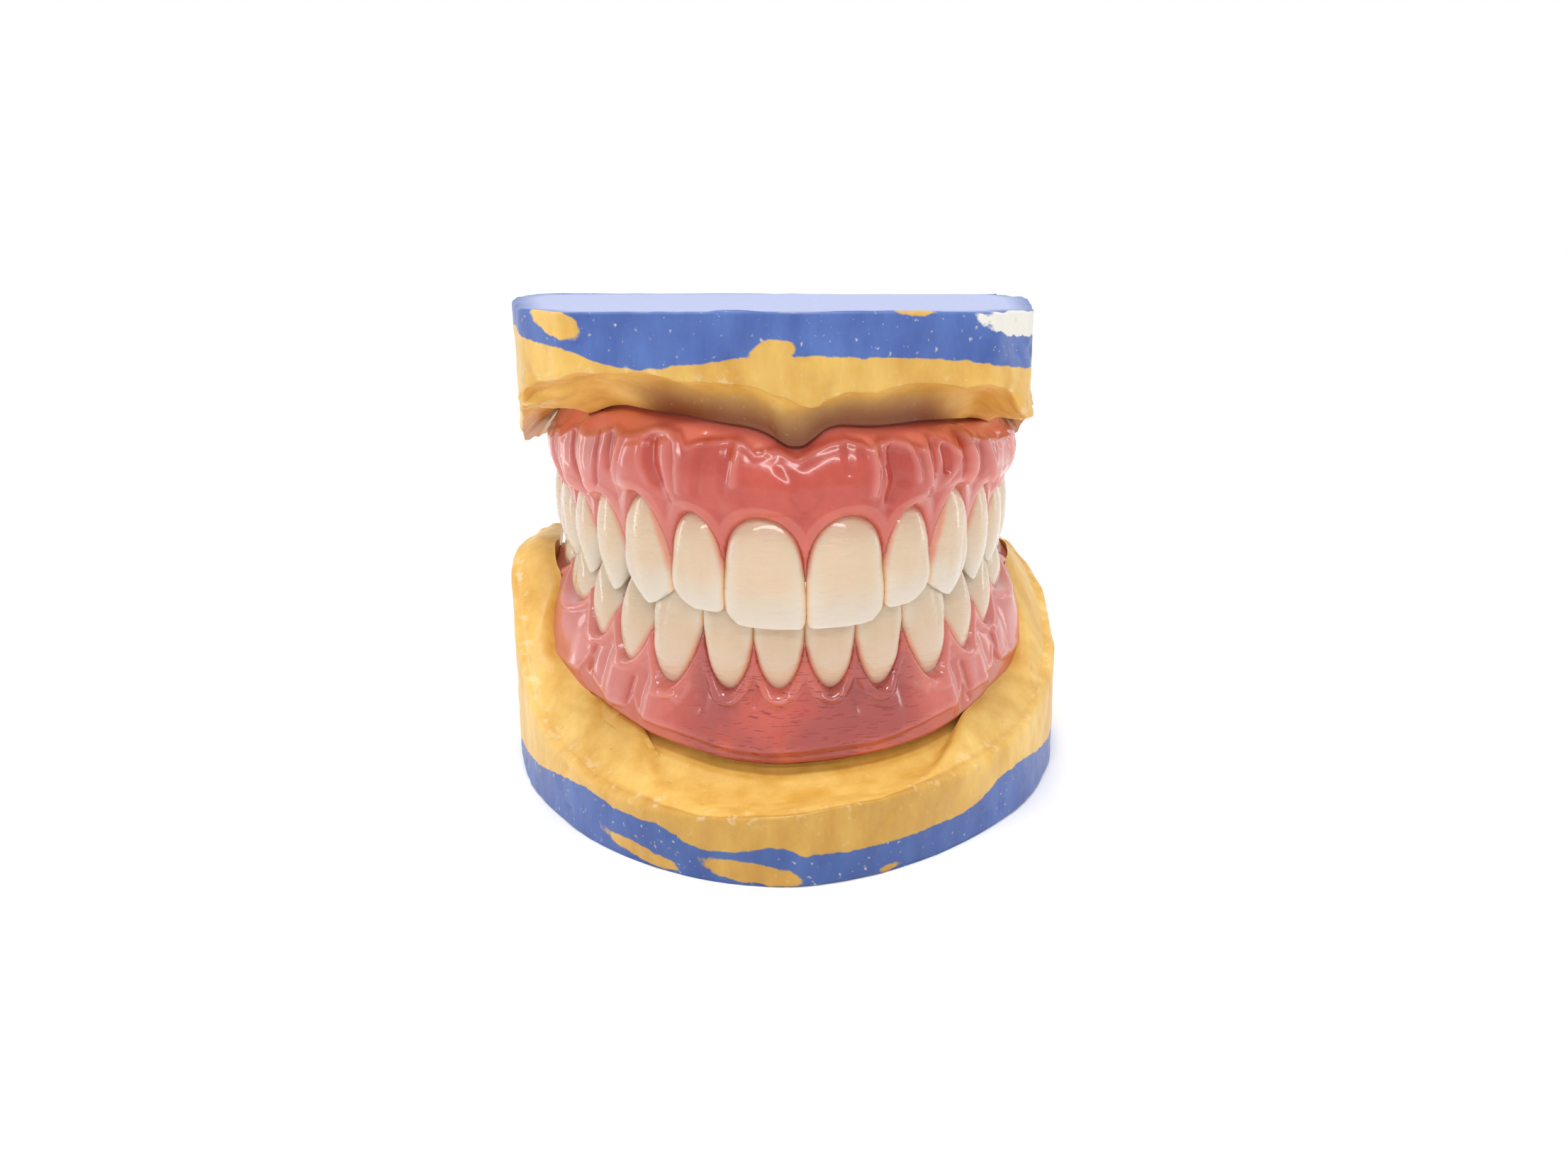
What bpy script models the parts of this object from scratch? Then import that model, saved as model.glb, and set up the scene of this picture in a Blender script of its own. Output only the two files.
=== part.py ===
# Full denture closed on its two casts
# Lengths are in millimetres and become metres when the meshes are written.
# The bite frame has x to the right, y backwards and z up from the upper front edges.
import math

import bmesh
import bpy
import numpy as np

# Sizes shared by all pieces
METRE = 0.001
CLEARANCE = 0.3
EDGE_HEIGHT = 25.1
EDGE_SETBACK = -20.8
BITE_SLOPE = math.tan(math.radians(5.0))
ROOT_COVER = 1.9
RIDGE_UNDER_ROOT = 1.5
PIECES_PER_TOOTH = 3
PAD_FADE = 4.0
PAD_RISE = 0.25
CURVE_SAMPLES = 400

# Cast blocks, heights from the upper front edges
LOWER_BOTTOM = -EDGE_HEIGHT
LOWER_JOIN = -20.9
LAND_HEIGHT = -17.6
UPPER_JOIN = 27.6
UPPER_TOP = 32.2
UPPER_SHIFT = -2.3
SHIFT_FADE = 0.8
TOP_TILT = math.tan(math.radians(0.8))
JOIN_WAVE = 0.35
CAST_REAR = 50.0

# Dental arches: half width, depth, power of the superellipse and start
UPPER_ARCH = dict(half_width=29.8, depth=47.0, power=2.0, start=0.0)
LOWER_ARCH = dict(half_width=29.0, depth=45.0, power=2.2, start=2.2)
ARCH_FACE_ROOM = 0.15

# Teeth from the middle to the back: name, width, thickness, neck and edge heights, papilla
UPPER_TEETH = (
    ("central_incisor", 8.6, 6.6, 11.7, 0.0, 6.4),
    ("lateral_incisor", 6.7, 6.3, 11.6, 1.2, 6.6),
    ("canine", 7.9, 7.4, 12.3, 0.0, 6.2),
    ("first_premolar", 7.2, 8.6, 10.3, 0.2, 5.8),
    ("second_premolar", 7.0, 8.8, 9.4, 0.2, 5.6),
    ("first_molar", 9.8, 9.8, 8.8, 0.2, 5.4),
    ("second_molar", 9.2, 9.6, 8.2, 0.2, 5.4),
)
LOWER_TEETH = (
    ("central_incisor", 5.5, 5.6, -8.4, 1.1, -3.9),
    ("lateral_incisor", 5.9, 5.9, -8.7, 1.1, -4.0),
    ("canine", 6.9, 7.2, -8.9, 1.2, -4.2),
    ("first_premolar", 7.1, 7.4, -7.7, 0.6, -3.9),
    ("second_premolar", 7.2, 7.8, -6.9, 0.4, -3.6),
    ("first_molar", 10.8, 8.6, -6.1, 0.4, -3.4),
    ("second_molar", 10.2, 8.4, -5.8, 0.4, -3.4),
)
FRONT_TOOTH_COUNT = 3
CUSP_LIFT = 0.6
CUSP_PERIOD = 5.6
CUSP_START = 0.8
BITE_ROOM = 0.3
CUSP_SHAPING = 0.7

# Tooth levels from root to edge: share from edge to neck, width share, face depth, back share
ROOT_SHARE = 9.0
FRONT_LEVELS = ((ROOT_SHARE, 0.62, 1.5, 0.80), (1.0, 0.84, 0.5, 1.0), (0.62, 0.93, 0.0, 0.78),
                (0.25, 1.0, 0.1, 0.42), (0.0, 0.95, 0.35, 0.27))
BACK_LEVELS = ((ROOT_SHARE, 0.70, 1.3, 0.84), (1.0, 0.88, 0.4, 0.94), (0.45, 1.0, 0.1, 1.0),
               (0.0, 0.92, 0.7, 0.93))
LOWER_BACK_LEAN = 0.6

# Tooth rings and corner shapes
RING_SQUARENESS = 0.75
FRONT_RING = 12
BACK_RING = 14
CORNER_DROP = {"central_incisor": 0.35, "lateral_incisor": 0.5, "canine": 1.7}
LOWER_ROOM = 1.0

# Cast outlines and floors
LAND_BESIDE_ARCH = 6.0
LOWER_FRONT = -8.4
LOWER_WIDEST = 38.0
LOWER_BOW = 1.8
HEEL_TUCK = 2.0
UPPER_PLAN = ((0.0, 0.0, -0.6), (0.36, 21.4, -0.6), (0.46, 26.2, 4.4), (0.62, 29.0, 20.0),
              (0.74, 30.8, 30.0), (0.86, 32.0, 40.0), (1.0, 30.6, CAST_REAR))
ART_EDGE = 24.5
TONGUE_FLOOR = -17.4
FLAT_SHARES = (0.0, 0.35, 0.7, 1.0)
SPINE_START = 15.0
SPINE_POWER = 1.25

# Denture plates
GUM_PROUD = 1.0
LOWER_PLATE_END = 46.0
UPPER_PLATE_END = 46.5

# Heights along the arch, by run from the middle line
UPPER_BORDER = ((0.0, 18.2), (2.4, 20.2), (8.0, 20.4), (14.0, 20.7), (20.0, 20.8), (28.0, 19.8),
                (33.0, 19.2), (42.0, 16.6), (52.0, 15.2), (62.0, 14.6))
LOWER_BORDER = ((0.0, -15.0), (12.0, -15.0), (19.0, -14.5), (23.0, -14.0), (28.0, -13.8),
                (35.0, -14.0), (44.0, -13.0), (52.0, -12.4), (60.0, -12.0))
PALATE_RISE = ((0.0, 15.0), (12.0, 17.5), (30.0, 19.0), (50.0, 18.6), (62.0, 17.6))
LAND_CLIMB = ((0.0, 0.0), (18.0, 0.0), (26.0, 3.6), (34.0, 8.6), (42.0, 14.4), (50.0, 15.6))
EDGE_DROP = ((0.0, 0.0), (10.0, 0.8), (20.0, 3.6), (34.0, 6.6), (50.0, 7.6))
BASE_THICKNESS = 2.0

# Colours as linear red, green, blue
STONE_YELLOW = (0.81, 0.46, 0.09)
PLASTER_BLUE = (0.08, 0.15, 0.50)
GUM_PINK = (0.70, 0.14, 0.11)
TOOTH_IVORY = (0.79, 0.64, 0.45)


def clear_scene():
    for item in list(bpy.data.objects):
        bpy.data.objects.remove(item, do_unlink=True)


def make_material(name, colour, roughness):
    material = bpy.data.materials.new(name)
    material.use_nodes = True
    shader = material.node_tree.nodes["Principled BSDF"]
    shader.inputs["Base Color"].default_value = (*colour, 1.0)
    shader.inputs["Roughness"].default_value = roughness
    material.diffuse_color = (*colour, 1.0)
    return material


def make_object(name, vertices, faces, material, smooth=True):
    # bite frame points go to the shared frame: the bite plane climbs backwards
    points = np.array(vertices, dtype=float)
    world = points + np.array([0.0, EDGE_SETBACK, EDGE_HEIGHT])
    world[:, 2] += BITE_SLOPE * points[:, 1]
    mesh = bpy.data.meshes.new(name)
    mesh.from_pydata((world * METRE).tolist(), [], faces)
    work = bmesh.new()
    work.from_mesh(mesh)
    bmesh.ops.remove_doubles(work, verts=work.verts, dist=CLEARANCE * METRE * 0.01)
    bmesh.ops.triangulate(work, faces=work.faces)
    bmesh.ops.recalc_face_normals(work, faces=work.faces)
    work.to_mesh(mesh)
    work.free()
    if material:
        mesh.materials.append(material)
    mesh.shade_smooth() if smooth else mesh.shade_flat()
    item = bpy.data.objects.new(name, mesh)
    bpy.context.scene.collection.objects.link(item)
    return item


# Arch curve


def make_arch(half_width, depth, power, start):
    # a quarter superellipse, then a straight run to the rear of the cast
    angle = np.linspace(0.0, math.pi / 2, CURVE_SAMPLES)
    x = half_width * np.sin(angle) ** (2 / power)
    y = start + depth * (1 - np.clip(np.cos(angle), 0.0, 1.0) ** (2 / power))
    x = np.append(x, half_width)
    y = np.append(y, CAST_REAR)
    length = np.append(0.0, np.cumsum(np.hypot(np.diff(x), np.diff(y))))
    along = np.gradient(np.stack([x, y]), length, axis=1)
    along /= np.linalg.norm(along, axis=0)
    along[:, 0] = (1.0, 0.0)
    along[:, -2:] = ((0.0, 0.0), (1.0, 1.0))
    return dict(x=x, y=y, length=length, out_x=along[1], out_y=-along[0])


def arch_point(arch, run):
    place = [np.interp(run, arch["length"], arch[key]) for key in ("x", "y")]
    out = [np.interp(run, arch["length"], arch[key]) for key in ("out_x", "out_y")]
    return np.array(place), np.array(out) / np.hypot(*out)


def spine_depth(arch, run, end_run):
    # the middle line point that a station aims at, level with the arch behind the teeth
    end_depth = arch_point(arch, end_run)[0][1]
    if run >= end_run:
        return arch_point(arch, run)[0][1]
    return SPINE_START + (end_depth - SPINE_START) * (run / end_run) ** SPINE_POWER


def station_point(arch, run, end_run, out, towards_spine, height):
    # out is along the arch normal outside and towards the spine inside
    place, normal = arch_point(arch, run)
    spine = np.array([0.0, spine_depth(arch, run, end_run)])
    if out < 0:
        aim = spine - place
        place = place - aim / np.linalg.norm(aim) * out
    else:
        place = place + normal * out
    place = place + (spine - place) * towards_spine
    return (place[0], place[1], height)


# Teeth along the arch


def tooth_spans(teeth):
    ends = np.cumsum([0.0] + [tooth[1] for tooth in teeth])
    return [(ends[i], ends[i + 1]) for i in range(len(teeth))]


def margin_height(teeth, run):
    # gum margin: the neck height at a tooth middle, the papilla height at a contact
    spans = tooth_spans(teeth)
    for index, (start, end) in enumerate(spans):
        if run <= end + 1e-6:
            share = abs(2 * (run - start) / (end - start) - 1)
            nearest = teeth[index][5]
            before = teeth[max(index - 1, 0)][5]
            papilla = nearest if run > (start + end) / 2 else before
            return papilla + (teeth[index][3] - papilla) * (1 - share ** 2.4)
    past = (run - spans[-1][1]) / PAD_FADE
    return teeth[-1][3] * (1 + PAD_RISE * min(past, 1.0))


def tooth_depth(teeth, run):
    spans = tooth_spans(teeth)
    middles = [(start + end) / 2 for start, end in spans]
    return float(np.interp(run, middles, [tooth[2] for tooth in teeth]))


def neck_level(teeth, run):
    spans = tooth_spans(teeth)
    middles = [(start + end) / 2 for start, end in spans]
    return float(np.interp(run, middles, [tooth[3] for tooth in teeth]))


def tooth_levels(front, neck, edge, thickness, lower):
    # each level: share of the way from edge to neck, width share, face depth, back depth
    past_neck = 1 + ROOT_COVER / abs(neck - edge)
    table = FRONT_LEVELS if front else BACK_LEVELS
    lean = LOWER_BACK_LEAN if lower and not front else 0.0
    levels = []
    for share, wide, face, back in table:
        tilt = lean * max(1 - share, 0.0)
        levels.append((min(share, past_neck), wide, face + tilt, back * thickness))
    return levels


def bite_sheet(depth):
    # one ridged sheet shared by upper and lower teeth, by depth from the upper faces
    phase = (depth - CUSP_START) / CUSP_PERIOD
    fold = abs((phase % 1.0) * 2 - 1)
    return CUSP_LIFT * (1 - 2 * fold)


def bite_height(depth, share, lower, molar):
    inset = LOWER_ROOM if lower else 0.0
    waves = 2 if molar else 1
    shaping = CUSP_SHAPING * (0.5 - 0.5 * math.cos(2 * math.pi * (waves * (share + 1) / 2)))
    lift = BITE_ROOM + CUSP_SHAPING - shaping
    sheet = bite_sheet(depth + inset)
    return sheet - lift if lower else sheet + lift


def ring_points(count):
    angle = np.arange(count) / count * 2 * math.pi
    wide = np.sign(np.cos(angle)) * np.abs(np.cos(angle)) ** RING_SQUARENESS
    deep = np.sign(np.sin(angle)) * np.abs(np.sin(angle)) ** RING_SQUARENESS
    return wide, deep


def tooth_vertices(arch, teeth, index, lower, grow):
    # rings from the root end to the biting edge in run, depth and height
    name, width, thickness, neck, edge, _ = teeth[index]
    start, end = tooth_spans(teeth)[index]
    middle = (start + end) / 2
    half = (width - CLEARANCE) / 2
    front = index < FRONT_TOOTH_COUNT
    molar = "molar" in name and "pre" not in name
    wide, deep = ring_points(FRONT_RING if front else BACK_RING)
    rows = []
    levels = tooth_levels(front, neck, edge, thickness, lower)
    for level, (share, width_share, face, back) in enumerate(levels):
        run = middle + wide * (half * width_share + grow)
        face, back = face - grow, back + grow
        depth = (face + back) / 2 - deep * (back - face) / 2
        height = edge + (neck - edge) * share + (grow * np.sign(neck) if level == 0 else 0)
        heights = np.full(len(wide), height)
        if level == len(levels) - 1:
            if front:
                heights = heights + np.sign(neck) * CORNER_DROP[name] * np.abs(wide) ** 1.5
            else:
                heights = np.array([bite_height(d, w, lower, molar) for d, w in zip(depth, wide)])
        rows.append(np.stack([run, depth, heights], axis=1))
    if not front:
        rows.append(inner_bite_ring(rows[-1], middle, half, lower, molar))
    ends = [rows[0].mean(axis=0), rows[-1].mean(axis=0)]
    if not front:
        ends[1][2] = bite_height(ends[1][1], 0.0, lower, molar)
    return rows, ends


def inner_bite_ring(outer, middle, half, lower, molar):
    centre = outer.mean(axis=0)
    ring = centre + (outer - centre) * 0.5
    shares = (ring[:, 0] - middle) / half
    ring[:, 2] = [bite_height(d, w, lower, molar) for d, w in zip(ring[:, 1], shares)]
    return ring


def curve_to_plan(arch, points, side):
    placed = []
    for run, depth, height in points:
        place, out = arch_point(arch, abs(run))
        if run < 0:
            place, out = place * (-1, 1), out * (-1, 1)
        spot = place - out * (depth + ARCH_FACE_ROOM)
        placed.append((side * spot[0], spot[1], height))
    return placed


def tooth_mesh(arch, teeth, index, lower, side, grow=0.0):
    rows, ends = tooth_vertices(arch, teeth, index, lower, grow)
    count = len(rows[0])
    vertices = [p for row in rows for p in curve_to_plan(arch, row, side)]
    vertices += curve_to_plan(arch, ends, side)
    faces = []
    for row in range(len(rows) - 1):
        for i in range(count):
            j = (i + 1) % count
            a, b = row * count, (row + 1) * count
            faces.append((a + i, a + j, b + j, b + i))
    root, tip = len(vertices) - 2, len(vertices) - 1
    last = (len(rows) - 1) * count
    for i in range(count):
        j = (i + 1) % count
        faces.append((root, j, i))
        faces.append((tip, last + i, last + j))
    return vertices, faces


def side_name(side):
    # the wearer's right is at the viewer's left
    return "left" if side > 0 else "right"


def add_teeth(arch, teeth, lower, material):
    jaw = "lower" if lower else "upper"
    for side in (-1, 1):
        for index, tooth in enumerate(teeth):
            vertices, faces = tooth_mesh(arch, teeth, index, lower, side)
            make_object(f"{jaw}_{side_name(side)}_{tooth[0]}", vertices, faces, material)


def add_socket_cutters(arch, teeth, lower):
    # every other tooth shares one cutter, so no cutter meets itself
    cutters = []
    for parity in (0, 1):
        vertices, faces = [], []
        for side in (-1, 1):
            for index in range(len(teeth)):
                if (index + (side > 0)) % 2 != parity:
                    continue
                more, more_faces = tooth_mesh(arch, teeth, index, lower, side, CLEARANCE)
                faces += [tuple(v + len(vertices) for v in face) for face in more_faces]
                vertices += more
        jaw = "lower" if lower else "upper"
        cutter = make_object(f"{jaw}_socket_cutter_{parity}", vertices, faces, None)
        cutter.hide_render = True
        cutter.display_type = "WIRE"
        cutters.append(cutter)
    return cutters


# Sheets over the stations


def stations(teeth, arch, last_depth):
    # a fixed number of stations per tooth, then a few to the last depth
    runs = []
    for start, end in tooth_spans(teeth):
        runs += [start + (end - start) * i / PIECES_PER_TOOTH for i in range(PIECES_PER_TOOTH)]
    runs.append(tooth_spans(teeth)[-1][1])
    rear = float(np.interp(last_depth, arch["y"], arch["length"]))
    step = (rear - runs[-1]) / 3
    return runs + [runs[-1] + step * i for i in (1, 2, 3)]


def mirror_solid(name, top, bottom, material, smooth, closed_inside=False):
    # two sheets of one side, joined at the outer edge and the rear, then repeated on the other
    vertices, faces = [], []
    for side in (-1, 1):
        base = len(vertices)
        for sheet in (top, bottom):
            vertices += [tuple(p) for row in sheet(side) for p in row]
        rows = len(top(side))
        wide_top, wide_bottom = len(top(side)[0]), len(bottom(side)[0])
        under = base + rows * wide_top
        half = grid_faces(base, rows, wide_top)
        half += grid_faces(under, rows, wide_bottom)
        for r in range(rows - 1):
            half.append((base + r * wide_top, base + (r + 1) * wide_top,
                         under + (r + 1) * wide_bottom, under + r * wide_bottom))
            if closed_inside:
                half.append((base + r * wide_top + wide_top - 1,
                             base + (r + 1) * wide_top + wide_top - 1,
                             under + (r + 1) * wide_bottom + wide_bottom - 1,
                             under + r * wide_bottom + wide_bottom - 1))
        rear_top = [base + (rows - 1) * wide_top + i for i in range(wide_top)]
        rear_bottom = [under + (rows - 1) * wide_bottom + i for i in range(wide_bottom)]
        half.append(tuple(rear_top + rear_bottom[::-1]))
        faces += half
    return make_object(name, vertices, faces, material, smooth)


def grid_faces(base, rows, wide):
    return [(base + r * wide + c, base + r * wide + c + 1,
             base + (r + 1) * wide + c + 1, base + (r + 1) * wide + c)
            for r in range(rows - 1) for c in range(wide - 1)]


def follow(table, value):
    return float(np.interp(value, [row[0] for row in table], [row[1] for row in table]))


def upright(x, y, height):
    return (x, y, height - BITE_SLOPE * y)


def lower_outline(run, side, arch, end_run):
    # rounded front and straight heels
    angle = min(run / end_run, 1.0) * math.pi / 2
    bow = 2 / LOWER_BOW
    x = (LOWER_ARCH["half_width"] + LAND_BESIDE_ARCH) * math.sin(angle) ** bow
    y = LOWER_WIDEST - (LOWER_WIDEST - LOWER_FRONT) * max(math.cos(angle), 0.0) ** bow
    if run > end_run:
        rear = arch["length"][-1]
        share = (run - end_run) / (rear - end_run)
        x, y = x - HEEL_TUCK * share, y + (CAST_REAR - y) * share
    return side * x, y


def upper_outline(run, side, arch):
    # art portion cut to flats: front, front corners, sides and heels
    share = run / arch["length"][-1]
    keys, xs, ys = zip(*UPPER_PLAN)
    y = float(np.interp(share, keys, ys))
    shift = UPPER_SHIFT * (1 - SHIFT_FADE * y / CAST_REAR)
    return side * float(np.interp(share, keys, xs)) + shift, y


def join_wave(x, y):
    return JOIN_WAVE * (math.sin(0.21 * x + 0.6) + math.cos(0.17 * y + 0.3 * math.sin(0.1 * x)))


def flat_sheet(arch, runs, end_run, outline, level, side):
    # outline to middle line at a level given by a function of x and y
    rows = []
    for run in runs:
        x, y = outline(run, side)
        spine = spine_depth(arch, run, end_run)
        row = []
        for share in FLAT_SHARES:
            px, py = x * (1 - share), y + (spine - y) * share
            row.append(upright(px, py, level(px, py)))
        rows.append(row)
    return rows


def upper_ridge_row(run, side, arch, end_run):
    # tissue side of the upper cast from the border fold to the middle line
    level = neck_level(UPPER_TEETH, run)
    border = follow(UPPER_BORDER, run)
    deep = tooth_depth(UPPER_TEETH, run)
    crest = level + ROOT_COVER + CLEARANCE * 2 + RIDGE_UNDER_ROOT
    palate = follow(PALATE_RISE, run) + BASE_THICKNESS
    steps = ((-2.0, 0.0, border + 0.9), (-3.4, 0.0, border + 0.3),
             (-3.9, 0.0, (border + crest) / 2 + 0.6), (-4.6, 0.0, crest + 0.3),
             (-deep * 0.8, 0.0, crest), (-deep - 2.0, 0.0, crest + (palate - crest) * 0.35),
             (-deep - 2.0, 0.35, crest + (palate - crest) * 0.8),
             (-deep - 2.0, 0.7, palate), (0.0, 1.0, palate + 0.3))
    points = [station_point(arch, run, end_run, *step) for step in steps]
    return [(side * p[0], p[1], p[2]) for p in points]


def upper_cast_row(run, side, arch, end_run):
    x, y = upper_outline(run, side, arch)
    edge = upright(x, y, ART_EDGE - follow(EDGE_DROP, y))
    ridge = upper_ridge_row(run, side, arch, end_run)
    fold = np.array(ridge[0])
    wall = np.array(edge) * 0.45 + fold * 0.55 + (0.0, 0.0, 0.5)
    return [edge, tuple(wall)] + ridge


def lower_ridge_row(run, side, arch, end_run):
    level = neck_level(LOWER_TEETH, run)
    border = follow(LOWER_BORDER, run)
    deep = tooth_depth(LOWER_TEETH, run)
    crest = level - ROOT_COVER - CLEARANCE * 2 - RIDGE_UNDER_ROOT
    steps = ((1.7, 0.0, border - 1.0), (-0.4, 0.0, border - 0.6),
             (-1.2, 0.0, (border + crest) / 2), (-2.2, 0.0, crest - 0.2),
             (-deep * 0.72, 0.0, crest), (-deep - 0.4, 0.0, border + 0.4),
             (-deep - 1.4, 0.0, border - 1.9), (-deep - 3.4, 0.1, border - 2.2))
    points = [station_point(arch, run, end_run, *step) for step in steps]
    return [(side * p[0], p[1], p[2]) for p in points]


def lower_cast_row(run, side, arch, end_run):
    x, y = lower_outline(run, side, arch, end_run)
    edge = upright(x, y, LAND_HEIGHT + follow(LAND_CLIMB, y))
    ridge = lower_ridge_row(run, side, arch, end_run)
    land = np.array(edge) * 0.4 + np.array(ridge[0]) * 0.6
    spine = spine_depth(arch, run, end_run)
    inner = np.array(ridge[-1])
    floor = upright(inner[0] * 0.5, (inner[1] + spine) / 2, TONGUE_FLOOR)
    return [edge, tuple(land)] + ridge + [floor, upright(0.0, spine, TONGUE_FLOOR)]


def add_cast(name, arch, teeth, outline, row_maker, levels, materials):
    # stone carries the tissue side, the plaster base carries the stone
    runs = stations(teeth, arch, CAST_REAR)
    end_run = tooth_spans(teeth)[-1][1]
    join, outer = levels
    away = CLEARANCE / 2 * (1 if outer(0.0, 0.0) > join else -1)

    def tissue(side):
        return [row_maker(run, side, arch, end_run) for run in runs]

    def seam(side, gap):
        return flat_sheet(arch, runs, end_run, outline,
                          lambda x, y: join + join_wave(x, y) + gap, side)

    def plate(side):
        return flat_sheet(arch, runs, end_run, outline, outer, side)

    mirror_solid(f"{name}_stone", tissue, lambda side: seam(side, -away), materials[0], False)
    mirror_solid(f"{name}_base", plate, lambda side: seam(side, away), materials[1], False)


def shifted_in_section(row, gap):
    # moves a tissue row off the cast by the gap, square to the row
    points = np.array(row)
    along = np.gradient(points, axis=0)
    level = np.hypot(along[:, 0], along[:, 1]) + 1e-9
    slope = along[:, 2] / level
    length = np.sqrt(1 + slope ** 2)
    out = points.copy()
    out[:, 2] += gap / length
    out[:, 0] -= gap * slope / length * along[:, 0] / level
    out[:, 1] -= gap * slope / length * along[:, 1] / level
    out[points[:, 0] == 0.0, 0] = 0.0
    return [tuple(p) for p in out]


def upper_polished_row(run, side, arch, end_run):
    # from the border over the flange and the gum edge to the palate
    margin = margin_height(UPPER_TEETH, run)
    border = follow(UPPER_BORDER, run)
    deep = tooth_depth(UPPER_TEETH, run)
    inner = max(neck_level(UPPER_TEETH, run) * 0.92, margin)
    palate = follow(PALATE_RISE, run)
    flange = (border + neck_level(UPPER_TEETH, run)) / 2
    steps = ((-1.9, 0.0, border + 0.1), (-0.8, 0.0, border - 1.0), (0.6, 0.0, flange),
             (GUM_PROUD, 0.0, margin + 1.2), (GUM_PROUD - 0.3, 0.0, margin),
             (-1.2, 0.0, margin - 0.3), (-deep + 0.6, 0.0, inner - 0.3),
             (-deep - 0.9, 0.0, inner + 0.4), (-deep - 1.6, 0.1, (inner + palate) / 2),
             (-deep - 2.0, 0.35, palate - 1.0), (-deep - 2.0, 0.7, palate - 0.1),
             (0.0, 1.0, palate + 0.2))
    points = [station_point(arch, run, end_run, *step) for step in steps]
    return [(side * p[0], p[1], p[2]) for p in points]


def lower_polished_row(run, side, arch, end_run):
    margin = margin_height(LOWER_TEETH, run)
    border = follow(LOWER_BORDER, run)
    deep = tooth_depth(LOWER_TEETH, run)
    inner = min(neck_level(LOWER_TEETH, run) * 0.92, margin)
    flange = (border + neck_level(LOWER_TEETH, run)) / 2
    steps = ((1.2, 0.0, border - 0.2), (1.6, 0.0, border + 1.0), (1.2, 0.0, flange),
             (GUM_PROUD, 0.0, margin - 1.2), (GUM_PROUD - 0.3, 0.0, margin),
             (-1.2, 0.0, margin + 0.3), (-deep + 0.6, 0.0, inner + 0.3),
             (-deep - 0.9, 0.0, inner - 0.4), (-deep - 1.9, 0.0, (inner + border) / 2),
             (-deep - 2.6, 0.0, border - 0.6))
    points = [station_point(arch, run, end_run, *step) for step in steps]
    return [(side * p[0], p[1], p[2]) for p in points]


def add_denture(name, arch, teeth, lower, last_depth, material):
    runs = stations(teeth, arch, last_depth)
    end_run = tooth_spans(teeth)[-1][1]
    ridge = lower_ridge_row if lower else upper_ridge_row
    polished = lower_polished_row if lower else upper_polished_row
    gap = CLEARANCE if lower else -CLEARANCE

    def outer(side):
        return [polished(run, side, arch, end_run) for run in runs]

    def inner(side):
        rows = [shifted_in_section(ridge(run, side, arch, end_run), gap) for run in runs]
        return [row[1:-1] if lower else row[1:] for row in rows]

    item = mirror_solid(name, outer, inner, material, True, closed_inside=lower)
    for cutter in add_socket_cutters(arch, teeth, lower):
        cut = item.modifiers.new(cutter.name, "BOOLEAN")
        cut.operation = "DIFFERENCE"
        cut.solver = "EXACT"
        cut.object = cutter
    return item


def main():
    clear_scene()
    stone = make_material("yellow_dental_stone", STONE_YELLOW, 0.75)
    plaster = make_material("blue_plaster", PLASTER_BLUE, 0.7)
    gum = make_material("pink_acrylic", GUM_PINK, 0.25)
    tooth = make_material("ivory_acrylic", TOOTH_IVORY, 0.22)
    lower_arch = make_arch(**LOWER_ARCH)
    upper_arch = make_arch(**UPPER_ARCH)
    end_run = tooth_spans(LOWER_TEETH)[-1][1]
    add_cast("lower_cast", lower_arch, LOWER_TEETH,
             lambda run, side: lower_outline(run, side, lower_arch, end_run),
             lower_cast_row, (LOWER_JOIN, lambda x, y: LOWER_BOTTOM), (stone, plaster))
    add_cast("upper_cast", upper_arch, UPPER_TEETH,
             lambda run, side: upper_outline(run, side, upper_arch),
             upper_cast_row, (UPPER_JOIN, lambda x, y: UPPER_TOP - TOP_TILT * x), (stone, plaster))
    add_denture("lower_denture_base", lower_arch, LOWER_TEETH, True, LOWER_PLATE_END, gum)
    add_denture("upper_denture_base", upper_arch, UPPER_TEETH, False, UPPER_PLATE_END, gum)
    add_teeth(lower_arch, LOWER_TEETH, True, tooth)
    add_teeth(upper_arch, UPPER_TEETH, False, tooth)


main()
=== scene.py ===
# Full denture closed on its two casts: new skins for teeth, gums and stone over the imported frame
import math
from functools import partial

import bmesh
import bpy
import numpy as np
from mathutils import Matrix, Vector


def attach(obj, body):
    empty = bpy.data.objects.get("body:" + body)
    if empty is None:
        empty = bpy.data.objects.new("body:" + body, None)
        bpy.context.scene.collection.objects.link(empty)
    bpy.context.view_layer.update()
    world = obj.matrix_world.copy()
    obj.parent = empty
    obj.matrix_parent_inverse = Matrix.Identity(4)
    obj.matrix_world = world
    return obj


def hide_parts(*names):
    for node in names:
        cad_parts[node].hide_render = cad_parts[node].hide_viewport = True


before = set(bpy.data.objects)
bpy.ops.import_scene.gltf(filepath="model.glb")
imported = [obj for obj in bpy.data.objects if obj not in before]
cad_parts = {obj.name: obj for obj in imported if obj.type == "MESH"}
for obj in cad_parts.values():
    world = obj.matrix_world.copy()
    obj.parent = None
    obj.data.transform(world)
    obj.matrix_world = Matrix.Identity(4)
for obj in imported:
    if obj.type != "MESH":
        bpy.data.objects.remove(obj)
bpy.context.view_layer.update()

# All lengths below are millimetres in the bite frame: x to the right, y backwards,
# z up from the upper front edges, with the bite plane climbing backwards.
mm = 0.001
bite = {"edgeHeight": 25.1, "edgeSetback": -20.8, "slope": math.tan(math.radians(5.0)),
        "castRear": 50.0, "rootCover": 1.9, "faceRoom": 0.15, "lowerInset": 1.0}
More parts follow.
